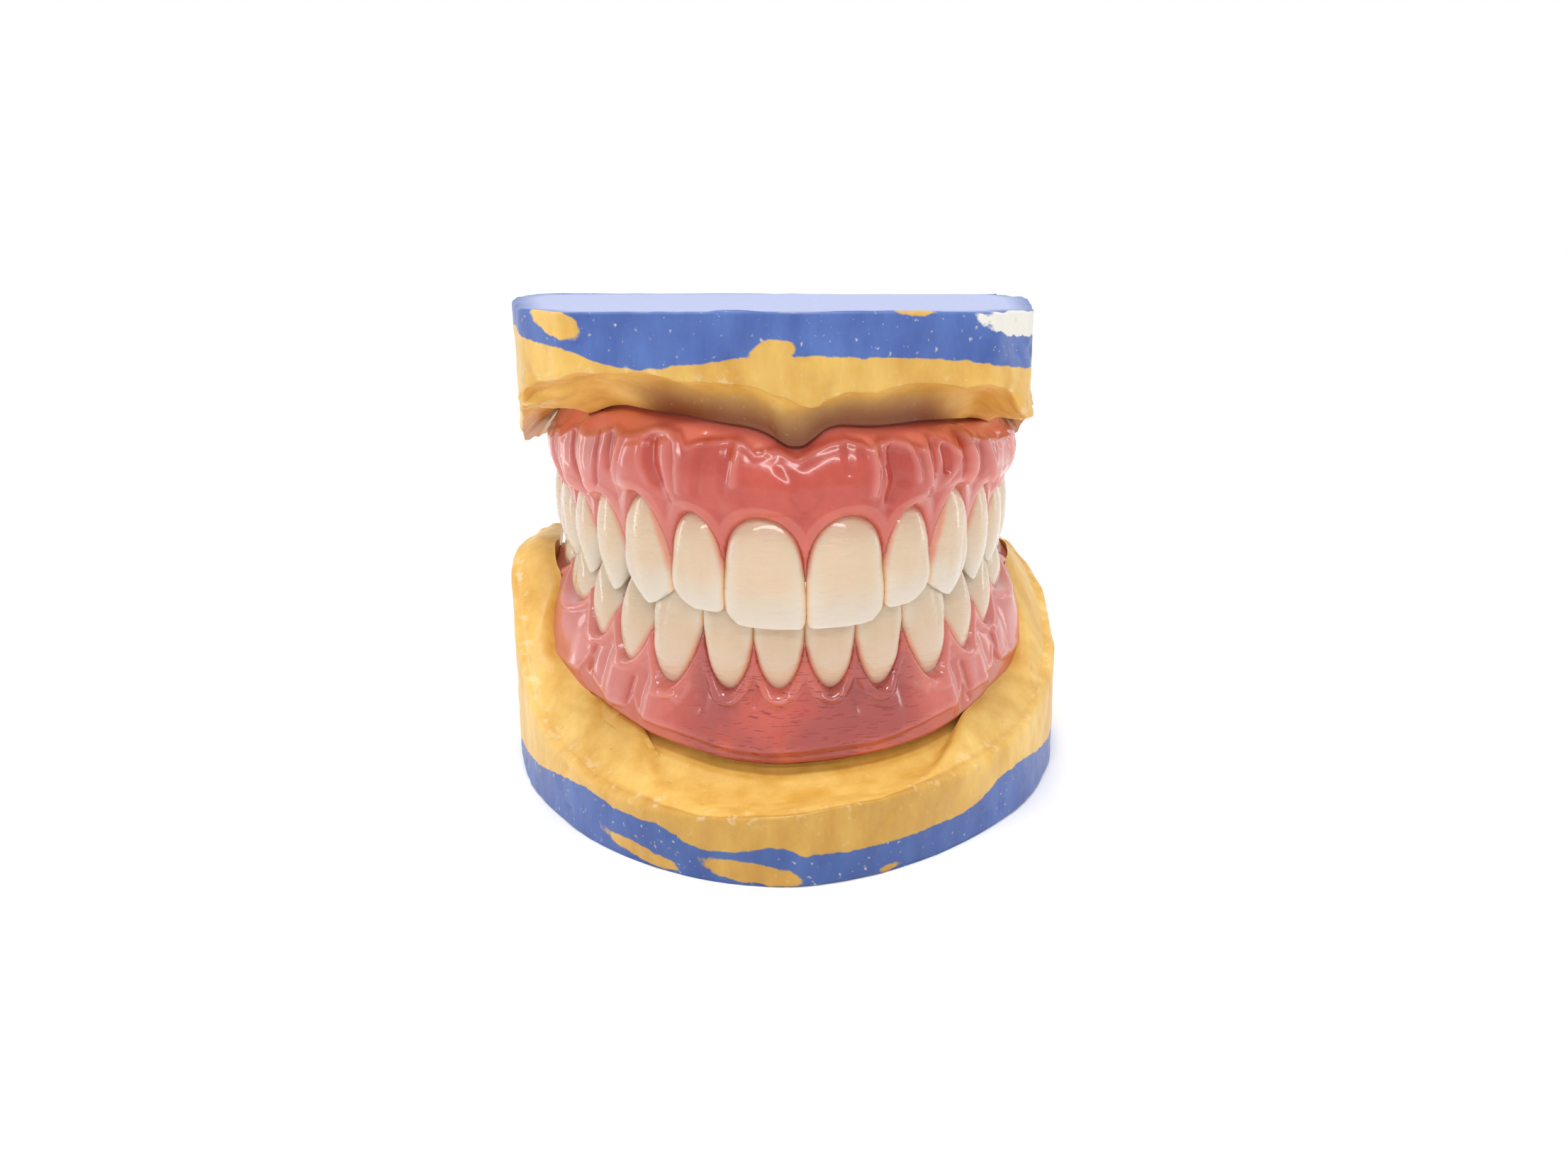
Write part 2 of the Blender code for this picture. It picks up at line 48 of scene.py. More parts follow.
upperArch = {"halfWidth": 29.8, "depth": 47.0, "power": 2.0, "start": 0.0}
lowerArch = {"halfWidth": 29.0, "depth": 45.0, "power": 2.2, "start": 2.2}
# tables by jaw have False for the upper and True for the lower one
jawNames = {False: "upper", True: "lower"}


# Small tools


def hexColour(code):
    # sRGB hex to linear: each channel c becomes ((c + 0.055) / 1.055) ** 2.4, or c / 12.92
    # where it is very dark
    channels = [int(code[i:i + 2], 16) / 255 for i in (1, 3, 5)]
    linear = [c / 12.92 if c <= 0.04045 else ((c + 0.055) / 1.055) ** 2.4 for c in channels]
    return (*linear, 1.0)


def smoothStep(value, low, high):
    # 0 below low, 1 above high, and 3t^2 - 2t^3 between
    t = np.clip((value - low) / (high - low), 0.0, 1.0)
    return t * t * (3 - 2 * t)


def bell(value, width):
    # 1 at zero, falling as exp(-(value / width)^2) to both sides
    return np.exp(-(value / width) ** 2)


def follow(table, value):
    # straight lines between the points of a small table, averaged over 1.2 mm to both sides
    keys, levels = np.array(table).T
    return np.mean([np.interp(value + step, keys, levels) for step in np.linspace(-1.2, 1.2, 7)],
                   axis=0)


def latticeNoise(points, size, seed):
    # random values on a cubic lattice of the given spacing, blended smoothly between corners
    cells = 32
    values = np.random.default_rng(seed).uniform(-1, 1, (cells, cells, cells))
    place = points / size + 1000.0
    cell = np.floor(place).astype(int)
    part = place - cell
    part = part * part * (3 - 2 * part)
    total = np.zeros(len(points))
    for corner in np.ndindex(2, 2, 2):
        index = (cell + corner) % cells
        weight = np.prod(np.where(np.array(corner) == 1, part, 1 - part), axis=1)
        total += weight * values[index[:, 0], index[:, 1], index[:, 2]]
    return total


def roughNoise(points, size, seed, octaves=3):
    # several lattices, each half the size and half the height of the one before
    return sum(latticeNoise(points, size / 2 ** k, seed + k) / 2 ** k for k in range(octaves))


def toWorld(points):
    # bite frame to metres: the bite slope lifts a point by its depth
    world = np.array(points, dtype=float).reshape(-1, 3)
    lift = bite["slope"] * world[:, 1]
    world = world + np.array([0.0, bite["edgeSetback"], bite["edgeHeight"]])
    world[:, 2] += lift
    return world * mm


def gridQuads(rows, columns, wrap=False):
    # four corners of each cell of a grid; with wrap the last column is joined to the first
    r = np.arange(rows - 1)[:, None] * columns
    c = np.arange(columns if wrap else columns - 1)[None, :]
    after = (c + 1) % columns
    return np.stack([r + c, r + after, r + columns + after, r + columns + c],
                    axis=-1).reshape(-1, 4)


def closedMesh(name, points, faces, values):
    # one closed mesh with values at its points: doubles merged, faces turned outwards
    mesh = bpy.data.meshes.new(name)
    mesh.from_pydata(points.tolist(), [], faces)
    for key, data in values.items():
        layer = mesh.attributes.new(key, "FLOAT", "POINT")
        layer.data.foreach_set("value", np.asarray(data, dtype=np.float32).ravel())
    work = bmesh.new()
    work.from_mesh(mesh)
    bmesh.ops.remove_doubles(work, verts=work.verts, dist=2e-6)
    bmesh.ops.dissolve_degenerate(work, edges=work.edges, dist=1e-7)
    bmesh.ops.recalc_face_normals(work, faces=work.faces)
    if work.calc_volume(signed=True) < 0:
        bmesh.ops.reverse_faces(work, faces=work.faces)
    work.to_mesh(mesh)
    work.free()
    mesh.shade_smooth()
    return mesh


def addPiece(name, mesh, material, slotName, *nodes):
    # a piece that rides on the body and stands for the named nodes
    piece = bpy.data.objects.new(name, mesh)
    bpy.context.scene.collection.objects.link(piece)
    mesh.materials.append(material)
    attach(piece, "root")
    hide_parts(*nodes)


def readValues(items, key, width=1):
    # one property of each item, as rows of numbers
    values = np.empty(len(items) * width, dtype=np.float32)
    items.foreach_get(key, values)
    return values.reshape(-1, width).astype(float)


def meshPoints(mesh):
    # the places of the vertices in metres, as rows of x, y and z
    return readValues(mesh.vertices, "co", 3)


def moveAlongNormals(mesh, amount):
    # pushes each vertex along its own normal by an amount in millimetres
    normals = readValues(mesh.vertex_normals, "vector", 3)
    points = meshPoints(mesh) + normals * (amount * mm)[:, None]
    mesh.vertices.foreach_set("co", points.astype(np.float32).ravel())
    mesh.update()


# Arch curves


def makeArch(halfWidth, depth, power, start, teeth):
    # quarter superellipse x = a sin^(2/p), y = start + b (1 - cos^(2/p)), then straight back;
    # read at even runs, with outward directions averaged over a few of them
    angle = np.linspace(0.0, math.pi / 2, 900)
    x = halfWidth * np.sin(angle) ** (2 / power)
    y = start + depth * (1 - np.clip(np.cos(angle), 0, 1) ** (2 / power))
    tail = np.linspace(y[-1], bite["castRear"] + 2, 40)[1:]
    x, y = np.append(x, np.full(len(tail), halfWidth)), np.append(y, tail)
    run = np.append(0.0, np.cumsum(np.hypot(np.diff(x), np.diff(y))))
    even = np.linspace(0, run[-1], 1200)
    x, y = np.interp(even, run, x), np.interp(even, run, y)
    along = np.gradient(np.stack([x, y]), even, axis=1)
    reach = 7
    padded = np.pad(along, ((0, 0), (reach, reach)), mode="edge")
    # before the middle line the curve is its own mirror image
    padded[0, :reach], padded[1, :reach] = along[0, reach:0:-1], -along[1, reach:0:-1]
    kernel = np.ones(2 * reach + 1) / (2 * reach + 1)
    along = np.stack([np.convolve(line, kernel, mode="valid") for line in padded])
    along /= np.linalg.norm(along, axis=0)
    return {"run": even, "x": x, "y": y, "outX": along[1], "outY": -along[0],
            "last": float(np.interp(bite["castRear"], y, even)),
            "teethEnd": sum(tooth["width"] for tooth in teeth.values())}


def archFrame(arch, run):
    # place and outward direction at signed runs from the middle line
    side, far = np.sign(run), np.abs(run)
    x, y, outX, outY = (np.interp(far, arch["run"], arch[key])
                        for key in ("x", "y", "outX", "outY"))
    outX = np.where(far == 0, 0.0, outX)
    return side * x, y, side * outX, outY


def onArch(arch, run, out, height):
    # a point at a signed run, pushed outwards from the arch curve
    x, y, outX, outY = archFrame(arch, run)
    return np.stack([x + outX * out, y + outY * out, height + 0 * x], axis=-1)


# for each tooth from the middle backwards: width, thickness, neck and edge heights from the bite
# plane, papilla height, lean of the neck towards the back, push of the root on the gum, power
# of the gum line's arc and narrowing to the neck; for the front teeth also corner radii and
# edge drops; pairs are for the side towards the middle and the far side
toothNames = ("central_incisor", "lateral_incisor", "canine", "first_premolar",
              "second_premolar", "first_molar", "second_molar")
toothSizes = ("width", "thick", "neck", "edge", "papilla", "lean", "root", "arc", "taper",
              "corner", "drop")


def namedTeeth(*rows):
    # the rows of a table as sizes by name, under the names of the teeth
    return {name: dict(zip(toothSizes, row)) for name, row in zip(toothNames, rows)}


upperTeeth = namedTeeth(
    (9.3, 6.6, 11.4, -0.5, 5.3, 0.5, 0.35, 2.2, (0.15, 0.2), (0.7, 1.7), (0.0, 0.15)),
    (6.8, 6.3, 11.3, 0.75, 5.2, 0.6, 0.25, 1.8, (0.17, 0.22), (0.9, 2.2), (0.0, 0.35)),
    (8.1, 7.4, 12.3, 0.0, 4.0, 1.1, 0.75, 1.15, (0.24, 0.28), (0.9, 1.7), (1.7, 2.4)),
    (7.2, 8.6, 10.6, 0.2, 4.6, 0.9, 0.6, 1.5, (0.24, 0.26)),
    (7.0, 8.8, 9.6, 0.2, 4.4, 0.8, 0.5, 1.6, (0.22, 0.24)),
    (9.8, 9.8, 8.9, 0.2, 4.4, 0.6, 0.35, 1.7, (0.15, 0.17)),
    (9.2, 9.6, 8.3, 0.2, 4.2, 0.5, 0.3, 1.7, (0.15, 0.17)))
lowerTeeth = namedTeeth(
    (5.7, 5.6, 8.5, -1.7, 2.6, 0.1, 0.25, 1.35, (0.28, 0.3), (0.5, 0.7), (0.0, 0.05)),
    (5.9, 5.9, 8.8, -1.9, 2.6, 0.2, 0.25, 1.35, (0.28, 0.3), (0.6, 0.9), (0.0, 0.1)),
    (6.9, 7.2, 9.4, -2.9, 2.6, 2.3, 0.4, 1.3, (0.26, 0.28), (1.6, 1.9), (1.2, 1.5)),
    (7.1, 7.4, 7.9, -0.6, 2.3, 2.0, 0.3, 1.2, (0.24, 0.26)),
    (7.2, 7.8, 7.0, -0.4, 2.0, 1.4, 0.25, 1.3, (0.22, 0.22)),
    (10.8, 8.6, 5.2, -0.4, 1.4, 0.6, 0.2, 1.7, (0.13, 0.14)),
    (10.2, 8.4, 4.0, -0.4, 1.0, 0.4, 0.2, 1.7, (0.13, 0.14)))
# how far the bite line climbs between the cusp tips of each upper tooth
biteNotches = (0.3, 1.6, 2.4, 2.2, 1.9, 1.3, 1.2)
teethOf = {False: upperTeeth, True: lowerTeeth}
curves = {False: makeArch(**upperArch, teeth=upperTeeth),
          True: makeArch(**lowerArch, teeth=lowerTeeth)}


def toothStarts(teeth):
    # the runs at which each tooth of one side starts and ends
    ends = np.cumsum([0.0] + [tooth["width"] for tooth in teeth.values()])
    return dict(zip(teeth, zip(ends[:-1], ends[1:])))


# Teeth

# counts of rows and points, and sizes that all crowns share; the cusps are a wave across the arch
toothShape = {"rows": 72, "around": 104, "overlapAside": 0.04, "wobble": 0.035,
              "edgeThick": 1.4, "edgeRound": 0.7, "edgeLean": 0.7, "neckRecess": 1.65,
              "frontBelly": 2.1, "backBelly": 3.3, "edgeSquare": 0.72, "neckSquare": 0.9,
              "backSquare": 0.86, "furrowDepth": 0.1, "furrowAt": 0.34, "furrowWidth": 0.13,
              "molarTop": 0.8, "premolarTop": 0.66, "upperTopLean": 0.2, "lowerTopLean": 1.0,
              "shoulder": 0.9, "backNeckRecess": 0.75, "cuspShare": 0.92, "cheekGroove": 0.4,
              "grooveWidth": 0.16, "topBulge": 0.1, "bulgeWidth": 0.1, "cuspWave": 0.62,
              "cuspPeriod": 5.6, "cuspStart": 0.8, "cuspRoom": 0.12, "cornerPower": 2.0,
              "molarValley": 0.6, "overlap": 0.9, "lowerRunScale": 1.035}


def isMolar(name):
    # true for a molar with two cusps in a row, and not for a premolar
    return name.endswith("_molar")


def biteSheet(depth):
    # one wave across the arch shared by both jaws: cusps of one lie in the valleys of the other
    phase = 2 * np.pi * (depth - toothShape["cuspStart"]) / toothShape["cuspPeriod"]
    return -toothShape["cuspWave"] * np.cos(phase)


def biteNotch(run):
    # how far the bite line climbs at a run: 0 under a cusp tip of the upper teeth, the notch
    # depth between them; a molar has two tips with a shallower valley between
    far, climb = np.abs(run), np.zeros(np.shape(run))
    for notch, (name, (start, end)) in zip(biteNotches, toothStarts(upperTeeth).items()):
        away = np.abs(2 * (far - start) / (end - start) - 1)
        if isMolar(name):
            away = np.abs(2 * away - 1) * np.where(away < 0.5, toothShape["molarValley"], 1)
        level = notch * away ** toothShape["cornerPower"]
        climb = np.where((far >= start) & (far < end), level, climb)
    return climb


def biteHeight(depth, run, lower):
    # height of the biting side above the bite plane, towards the roots of its own jaw; the
    # lower outer cusps reach a little way up behind the upper ones
    if not lower:
        return biteSheet(depth) + biteNotch(run) + toothShape["cuspRoom"]
    line = biteSheet(depth + bite["lowerInset"]) + biteNotch(run * toothShape["lowerRunScale"])
    reach = toothShape["overlap"] * (1 - smoothStep(depth, 1.6, 4.2))
    return toothShape["cuspRoom"] - line - reach


def squaredRing(power):
    # cosine and sine round a ring, each raised to a power below 1, which squares the ring
    angle = np.linspace(0, 2 * np.pi, toothShape["around"], endpoint=False)[None, :]
    return [np.sign(line) * np.abs(line) ** power for line in (np.cos(angle), np.sin(angle))]


def frontToothGrid(tooth):
    # rings from the root end to the edge: h is the height above the edge, x its share of the
    # crown's length and g the height from the bite plane towards the root
    shape = toothShape
    length = tooth["neck"] - tooth["edge"]
    k = np.linspace(0, 1, shape["rows"])[:, None]
    h = (length + bite["rootCover"]) * (1 - k) ** 1.4
    x = h / length
    square = shape["neckSquare"] - shape["edgeSquare"]
    across, deep = squaredRing(shape["edgeSquare"] + square * smoothStep(x, 0.05, 0.6))
    half = tooth["width"] / 2 + shape["overlapAside"]
    far = across > 0
    taper = np.where(far, tooth["taper"][1], tooth["taper"][0])
    corner = np.where(far, tooth["corner"][1], tooth["corner"][0])
    narrow = 1 - taper * np.clip((x - 0.5) / 0.5, 0, 1.6) ** 1.3
    narrow = narrow - 0.05 * np.clip(1 - x / 0.3, 0, 1) ** 1.5
    nearEdge = np.clip(1 - h / corner, 0, 1)
    wide = half * narrow - corner * (1 - np.sqrt(1 - nearEdge ** 2))
    # the face leans back at the edge and at the neck, and a ring is deepest behind its belly
    face = shape["edgeLean"] * np.clip(1 - x / 0.42, 0, 1) ** 1.8
    face = face + shape["neckRecess"] * np.clip((x - 0.54) / 0.46, 0, 1.4) ** 2.0
    thick = shape["edgeThick"] + (tooth["thick"] - shape["edgeThick"]) * smoothStep(x, 0.0, 0.95)
    thick = thick * np.sqrt(1 - np.clip(1 - h / shape["edgeRound"], 0, 0.995) ** 2)
    belly = np.minimum(shape["frontBelly"], 0.5 * thick)
    depth = face + belly - np.where(deep > 0, belly, thick - belly) * deep
    # two shallow upright furrows leave three lobes on the face
    furrows = bell(np.abs(across) - shape["furrowAt"], shape["furrowWidth"])
    furrows = furrows * smoothStep(x, 0.02, 0.2)
    furrows = furrows * (1 - smoothStep(x, 0.4, 0.75)) * (deep > 0)
    depth = depth + shape["furrowDepth"] * furrows
    drop = np.where(far, tooth["drop"][1], tooth["drop"][0])
    tipDrop = drop * np.abs(across) ** 1.7 * np.clip(1 - x, 0, 1) ** 1.8
    along = across * wide + tooth["lean"] * (x - 0.25)
    g = tooth["edge"] + h + tipDrop
    grid = np.stack([along, depth + 0 * g, g], axis=-1)
    # both ends close on their middle lines
    ends = []
    for ring in (grid[0].copy(), grid[-1].copy()):
        ring[:, 1] = (ring[:, 1] + np.roll(ring[::-1, 1], 1)) / 2
        ends.append(ring[None])
    return np.concatenate([ends[0], grid, ends[1]]), np.concatenate([x[:1], x, x[-1:]])


def backToothGrid(tooth, lower, molar, middle):
    # wall rings from the root end to the cusp ring, then rings that shrink to the middle; f is
    # the share of the height from the cusps to the root end
    shape = toothShape
    wallRows = shape["rows"] * 2 // 3
    topRows = shape["rows"] - wallRows
    f = np.linspace(1, 0, wallRows)[:, None] ** 1.3
    across, deep = squaredRing(shape["backSquare"])
    half = tooth["width"] / 2 + shape["overlapAside"]
    taper = np.where(across > 0, tooth["taper"][1], tooth["taper"][0])
    rise = np.sin(np.clip(f / (0.3 if molar else 0.42), 0, 1) * np.pi / 2)
    tip = shape["molarTop"] if molar else shape["premolarTop"]
    wide = half * (tip + (1 - tip) * rise ** 0.8)
    wide = wide * (1 - taper * np.clip((f - 0.38) / 0.45, 0, 1.5) ** 1.4)
    leanIn = shape[f"{jawNames[lower]}TopLean"]
    face = shape["shoulder"] * (1 - rise) ** 1.3 + leanIn * np.clip(1 - f / 0.6, 0, 1) ** 1.3
    face = face + shape["backNeckRecess"] * np.clip((f - 0.42) / 0.4, 0, 1.45) ** 2
    back = tooth["thick"] - 0.7 * (1 - rise) - 0.5 * np.clip((f - 0.55) / 0.3, 0, 1.9) ** 1.6
    mid = face + shape["backBelly"] * (back - face) / tooth["thick"]
    depth = mid - np.where(deep > 0, mid - face, back - mid) * deep
    if molar:
        # a shallow groove down the cheek side between the two cusps
        groove = bell(across, shape["grooveWidth"]) * (deep > 0)
        depth = depth + shape["cheekGroove"] * groove * (1 - smoothStep(f, 0.25, 0.75))
    lean = tooth["lean"] * (f - 0.3)
    run = middle + across * wide + lean
    cusps = across * half * shape["cuspShare"]
    top = biteHeight(depth[-1:], middle + cusps, lower)
    g = top * (1 - f) + (tooth["neck"] + bite["rootCover"]) * f
    wall = np.stack([run, depth, g], axis=-1)
    r = np.linspace(1, 0, topRows + 1)[1:, None]
    centre = (depth[-1].max() + depth[-1].min()) / 2
    topRun = middle + across * wide[-1:] * r + lean[-1:]
    topDepth = centre + (depth[-1:] - centre) * r
    topG = biteHeight(topDepth, middle + cusps * r, lower)
    # the biting side bulges a little inside its rim
    bulge = shape["topBulge"] * (1 - bell(1 - r, shape["bulgeWidth"]))
    crown = np.stack([topRun, topDepth, topG - bulge], axis=-1)
    root = wall[:1].copy()
    root[..., :2] = root[..., :2].mean(axis=1, keepdims=True)
    return np.concatenate([root, wall, crown]), np.concatenate([f[:1], f, 0 * r])


def addTooth(lower, side, name, material):
    # one crown, bent onto the arch and made slightly uneven
    teeth = teethOf[lower]
    tooth, (start, end) = teeth[name], toothStarts(teeth)[name]
    middle = (start + end) / 2
    if "molar" in name:
        grid, rootward = backToothGrid(tooth, lower, isMolar(name), middle)
    else:
        grid, rootward = frontToothGrid(tooth)
        grid[..., 0] += middle
    along, depth, height = np.moveaxis(grid, -1, 0)
    run, out, sign = side * along, -(depth + bite["faceRoom"]), -1 if lower else 1
    points = onArch(curves[lower], run, out, sign * height).reshape(-1, 3)
    seed = sum(map(ord, name)) + 7 * side + 31 * lower
    wobble = toothShape["wobble"] * roughNoise(points, 2.6, seed, 2)
    # how near the gum a point lies, where the tooth material paints warm shade
    gumward = smoothStep(gumEdge(teeth, run, height), -0.85, -0.1)
    gumward = gumward * smoothStep(height - tooth["papilla"], -0.8, 1.4)
    label = f"{jawNames[lower]}_{'left' if side > 0 else 'right'}_{name}"
    values = {"rootward": np.broadcast_to(rootward, run.shape), "gumward": gumward,
              "sideways": np.abs(along - middle) / (tooth["width"] / 2), "wobble": wobble}
    faces = gridQuads(*run.shape, wrap=True).tolist()
    mesh = closedMesh(label + "_crown", toWorld(points), faces, values)
    moveAlongNormals(mesh, readValues(mesh.attributes["wobble"].data, "value")[:, 0])
    mesh.attributes.remove(mesh.attributes["wobble"])
    addPiece(label + "_crown", mesh, material, "ivory_acrylic", label)


# Gum plates

# heights from the bite plane towards the roots; the outer face has a base curve, tooth
# roots pushing it out, a rounded cuff along each crown and the carving of the photographed face;
# a pair called sides gives the runs between which something changes from the front to the side
plate = {"runStep": 0.25, "outerRows": 84, "bridgeRows": 7, "innerRows": 34, "tissueRows": 22,
         "plateEnd": 46.3, "baseLift": -0.9, "tissueGap": 0.27, "baseThickness": 2.0,
         "upperCuff": (1.3, 0.11), "lowerCuff": (0.85, 0.3), "sink": 1.5, "sinkLength": 0.3,
         "upperSides": (5, 34), "lowerSides": (9, 26), "tension": 0.4, "spineFront": 15.0,
         "spineLength": 9, "borderRound": 1.1, "valleyDepth": 0.22, "valleyWidth": 0.9,
         "rootWidth": 0.34, "upperLobeStep": 0.22, "lowerLobeStep": 0.14, "lobeLip": 0.12,
         "bulgeSides": (26, 40), "neckSlope": 0.09, "crestCover": 2.1, "unevenness": 0.035}
jawShape = {
    False: {"border": ((-62, 14.5), (-54, 16.0), (-46, 18.2), (-41, 19.3), (-37, 19.6),
                       (-33.5, 19.2), (-28, 20.0), (-24.8, 20.4), (-21.2, 20.5), (-14, 20.6),
                       (-10.5, 20.3), (-6.2, 20), (-4, 19.4), (-2.2, 18.3), (-0.8, 17.9),
                       (0.6, 18.3), (2, 19.6), (3.8, 20.2), (9.2, 19.6), (15.8, 19.4),
                       (21.2, 18.8), (25.5, 18.1), (32, 17.6), (38, 17.2), (44, 16.2),
                       (54, 14.6), (62, 14)),
            "faceBend": (4.9, -5.9), "sideBulge": 0.0},
    True: {"border": ((-60, 12), (-52, 12.4), (-44, 13), (-35, 14), (-28, 13.8), (-23, 14),
                      (-19, 14.6), (-13, 15.2), (-8, 15.8), (-3, 16.0), (2, 15.7), (8, 15.4),
                      (13, 15.1), (19, 14.5), (23, 14), (28, 13.8), (35, 14), (44, 13),
                      (52, 12.4), (60, 12)),
           "faceBend": (3.4, -1.4), "sideBulge": 1.5},
}
# height of the palate by run
palateRise = ((0, 15), (12, 17.5), (30, 19), (50, 18.6), (62, 17.6))

# marks on the outer faces: points as run and height, then the width of the mark and how far
# it stands out, below 0 where it is carved in
upperCarving = (
    ([(-19.3, 18.2), (-19.1, 16.0), (-18.2, 13.6)], 0.4, 0.16),
    ([(-18.8, 18.6), (-17.4, 19.3), (-15.6, 19.3), (-14.4, 18.4), (-13.8, 16.6), (-13.9, 13.4)],
     0.3, 0.34),
    ([(-18.0, 18.0), (-17.8, 16.0), (-17.2, 14.2)], 0.9, -0.5),
    ([(-15.9, 18.2), (-15.7, 16.0), (-15.3, 13.6)], 0.75, 0.3),
    ([(-7.0, 19.0), (-7.2, 17.2), (-7.5, 14.8)], 0.42, 0.34),
    ([(-8.3, 18.8), (-8.4, 16.0), (-8.7, 14.0)], 0.5, -0.22),
    ([(-6.6, 19.4), (-5.6, 18.2), (-4.9, 19.2), (-4.1, 18.2)], 0.26, 0.2),
    ([(-2.6, 16.6), (-1.2, 15.2), (-0.2, 12.6)], 0.7, -0.22),
    ([(7.5, 19.0), (7.5, 16.2), (7.2, 13.4)], 0.45, 0.45),
    ([(9.9, 17.0), (10.4, 14.2), (10.0, 12.9)], 1.0, -0.75),
    ([(11.2, 16.8), (11.3, 14.4)], 0.6, -0.35),
    ([(8.6, 16.6), (9.0, 18.3), (10.2, 18.8), (11.9, 18.2), (12.5, 16.6), (12.7, 14.4)], 0.4, 0.4),
    ([(14.2, 18.6), (14.2, 16.0), (14.7, 13.4)], 0.5, 0.42),
    ([(15.3, 18.0), (15.4, 14.6)], 0.25, -0.3),
    ([(16.2, 18.5), (18.3, 18.0), (19.3, 15.6), (17.8, 13.3)], 0.38, 0.4),
    ([(17.5, 16.6), (17.7, 14.4)], 0.55, -0.6),
    ([(21.4, 18.6), (22.0, 15.4), (21.8, 12.2)], 0.5, 0.62),
    ([(20.3, 17.6), (20.4, 13.4)], 0.35, -0.4),
    ([(23.7, 18.2), (24.0, 12.4)], 0.5, -0.35),
    ([(26.6, 16.0), (27.6, 13.2), (29.2, 10.2)], 0.42, 0.55),
    ([(25.2, 15.4), (25.8, 12.4)], 0.8, -0.3),
    ([(28.6, 15.0), (29.4, 12.6)], 0.6, -0.3),
    ([(31.0, 15.4), (31.8, 12.6), (33.2, 9.4)], 0.8, 0.6),
    ([(36.2, 14.4), (37.2, 11.6), (38.6, 9.0)], 0.9, 0.65),
    ([(42.0, 13.6), (43.0, 9.0)], 0.6, 0.45),
    ([(-22.6, 18.0), (-22.9, 15.6), (-24.2, 12.6)], 0.4, 0.35),
    ([(-24.9, 17.6), (-25.2, 14.4)], 0.7, -0.3),
    ([(-27.4, 17.4), (-27.4, 14.6), (-28.0, 11.8)], 0.3, -0.35),
    ([(-31.8, 17.4), (-31.2, 13.6), (-29.8, 10.4)], 1.1, 0.65),
    ([(-34.6, 16.2), (-33.8, 12.6), (-32.6, 10.2)], 0.5, -0.4),
    ([(-38.0, 16.0), (-37.2, 12.6), (-35.4, 10.0)], 1.2, 0.7),
    ([(-43.0, 14.0), (-42.4, 11.4), (-41.2, 9.0)], 0.5, 0.5),
    ([(-11.0, 19.4), (-11.4, 16.0), (-11.7, 13.6)], 0.6, -0.28),
    ([(4.6, 19.0), (4.4, 16.0)], 0.5, -0.2),
    ([(-0.3, 11.6), (-1.6, 13.6)], 0.22, -0.2),
    ([(0.2, 11.6), (1.7, 13.8)], 0.22, -0.2),
)
lowerCarving = (
    ([(-5.6, 9.4), (-5.6, 6.4), (-5.4, 5.0)], 0.8, -0.16),
    ([(0.0, 10.6), (0.0, 7.0), (0.0, 5.0)], 0.8, -0.16),
    ([(5.6, 10.0), (5.6, 6.6), (5.5, 5.0)], 0.8, -0.16),
    ([(-11.6, 10.4), (-11.5, 7.0), (-11.4, 5.2)], 0.8, -0.18),
    ([(11.5, 10.4), (11.4, 7.0), (11.4, 5.2)], 0.8, -0.18),
    ([(-4.3, 8.6), (-2.9, 9.2), (-1.5, 8.6)], 0.3, 0.16),
    ([(1.2, 8.5), (2.7, 9.1), (4.2, 8.5)], 0.3, 0.16),
    ([(-11.0, 8.6), (-9.6, 9.7), (-8.0, 9.5), (-6.8, 8.4)], 0.3, 0.16),
    ([(7.0, 8.7), (8.4, 9.6), (10.2, 8.9)], 0.3, 0.16),
    ([(-13.4, 8.4), (-14.6, 10.2), (-16.8, 9.6)], 0.4, 0.3),
    ([(13.2, 8.8), (14.8, 9.9), (16.8, 8.8)], 0.4, 0.3),
    ([(-21.6, 9.4), (-21.8, 12.0)], 0.45, -0.3),
    ([(-29.6, 8.2), (-29.6, 10.4)], 0.5, -0.3),
    ([(-25.6, 8.6), (-25.4, 11.6)], 0.9, 0.3),
    ([(-33.6, 8.0), (-33.8, 10.8)], 1.0, 0.3),
    ([(21.6, 9.0), (21.4, 12.4)], 0.45, -0.3),
    ([(25.6, 8.4), (25.2, 11.8)], 0.9, 0.35),
    ([(29.8, 7.8), (29.6, 10.8)], 0.45, -0.3),
    ([(-18.6, 9.8), (-18.6, 12.6)], 0.7, 0.25),
    ([(18.4, 9.8), (18.2, 12.6)], 0.7, 0.25),
)
carvingOf = {False: upperCarving, True: lowerCarving}

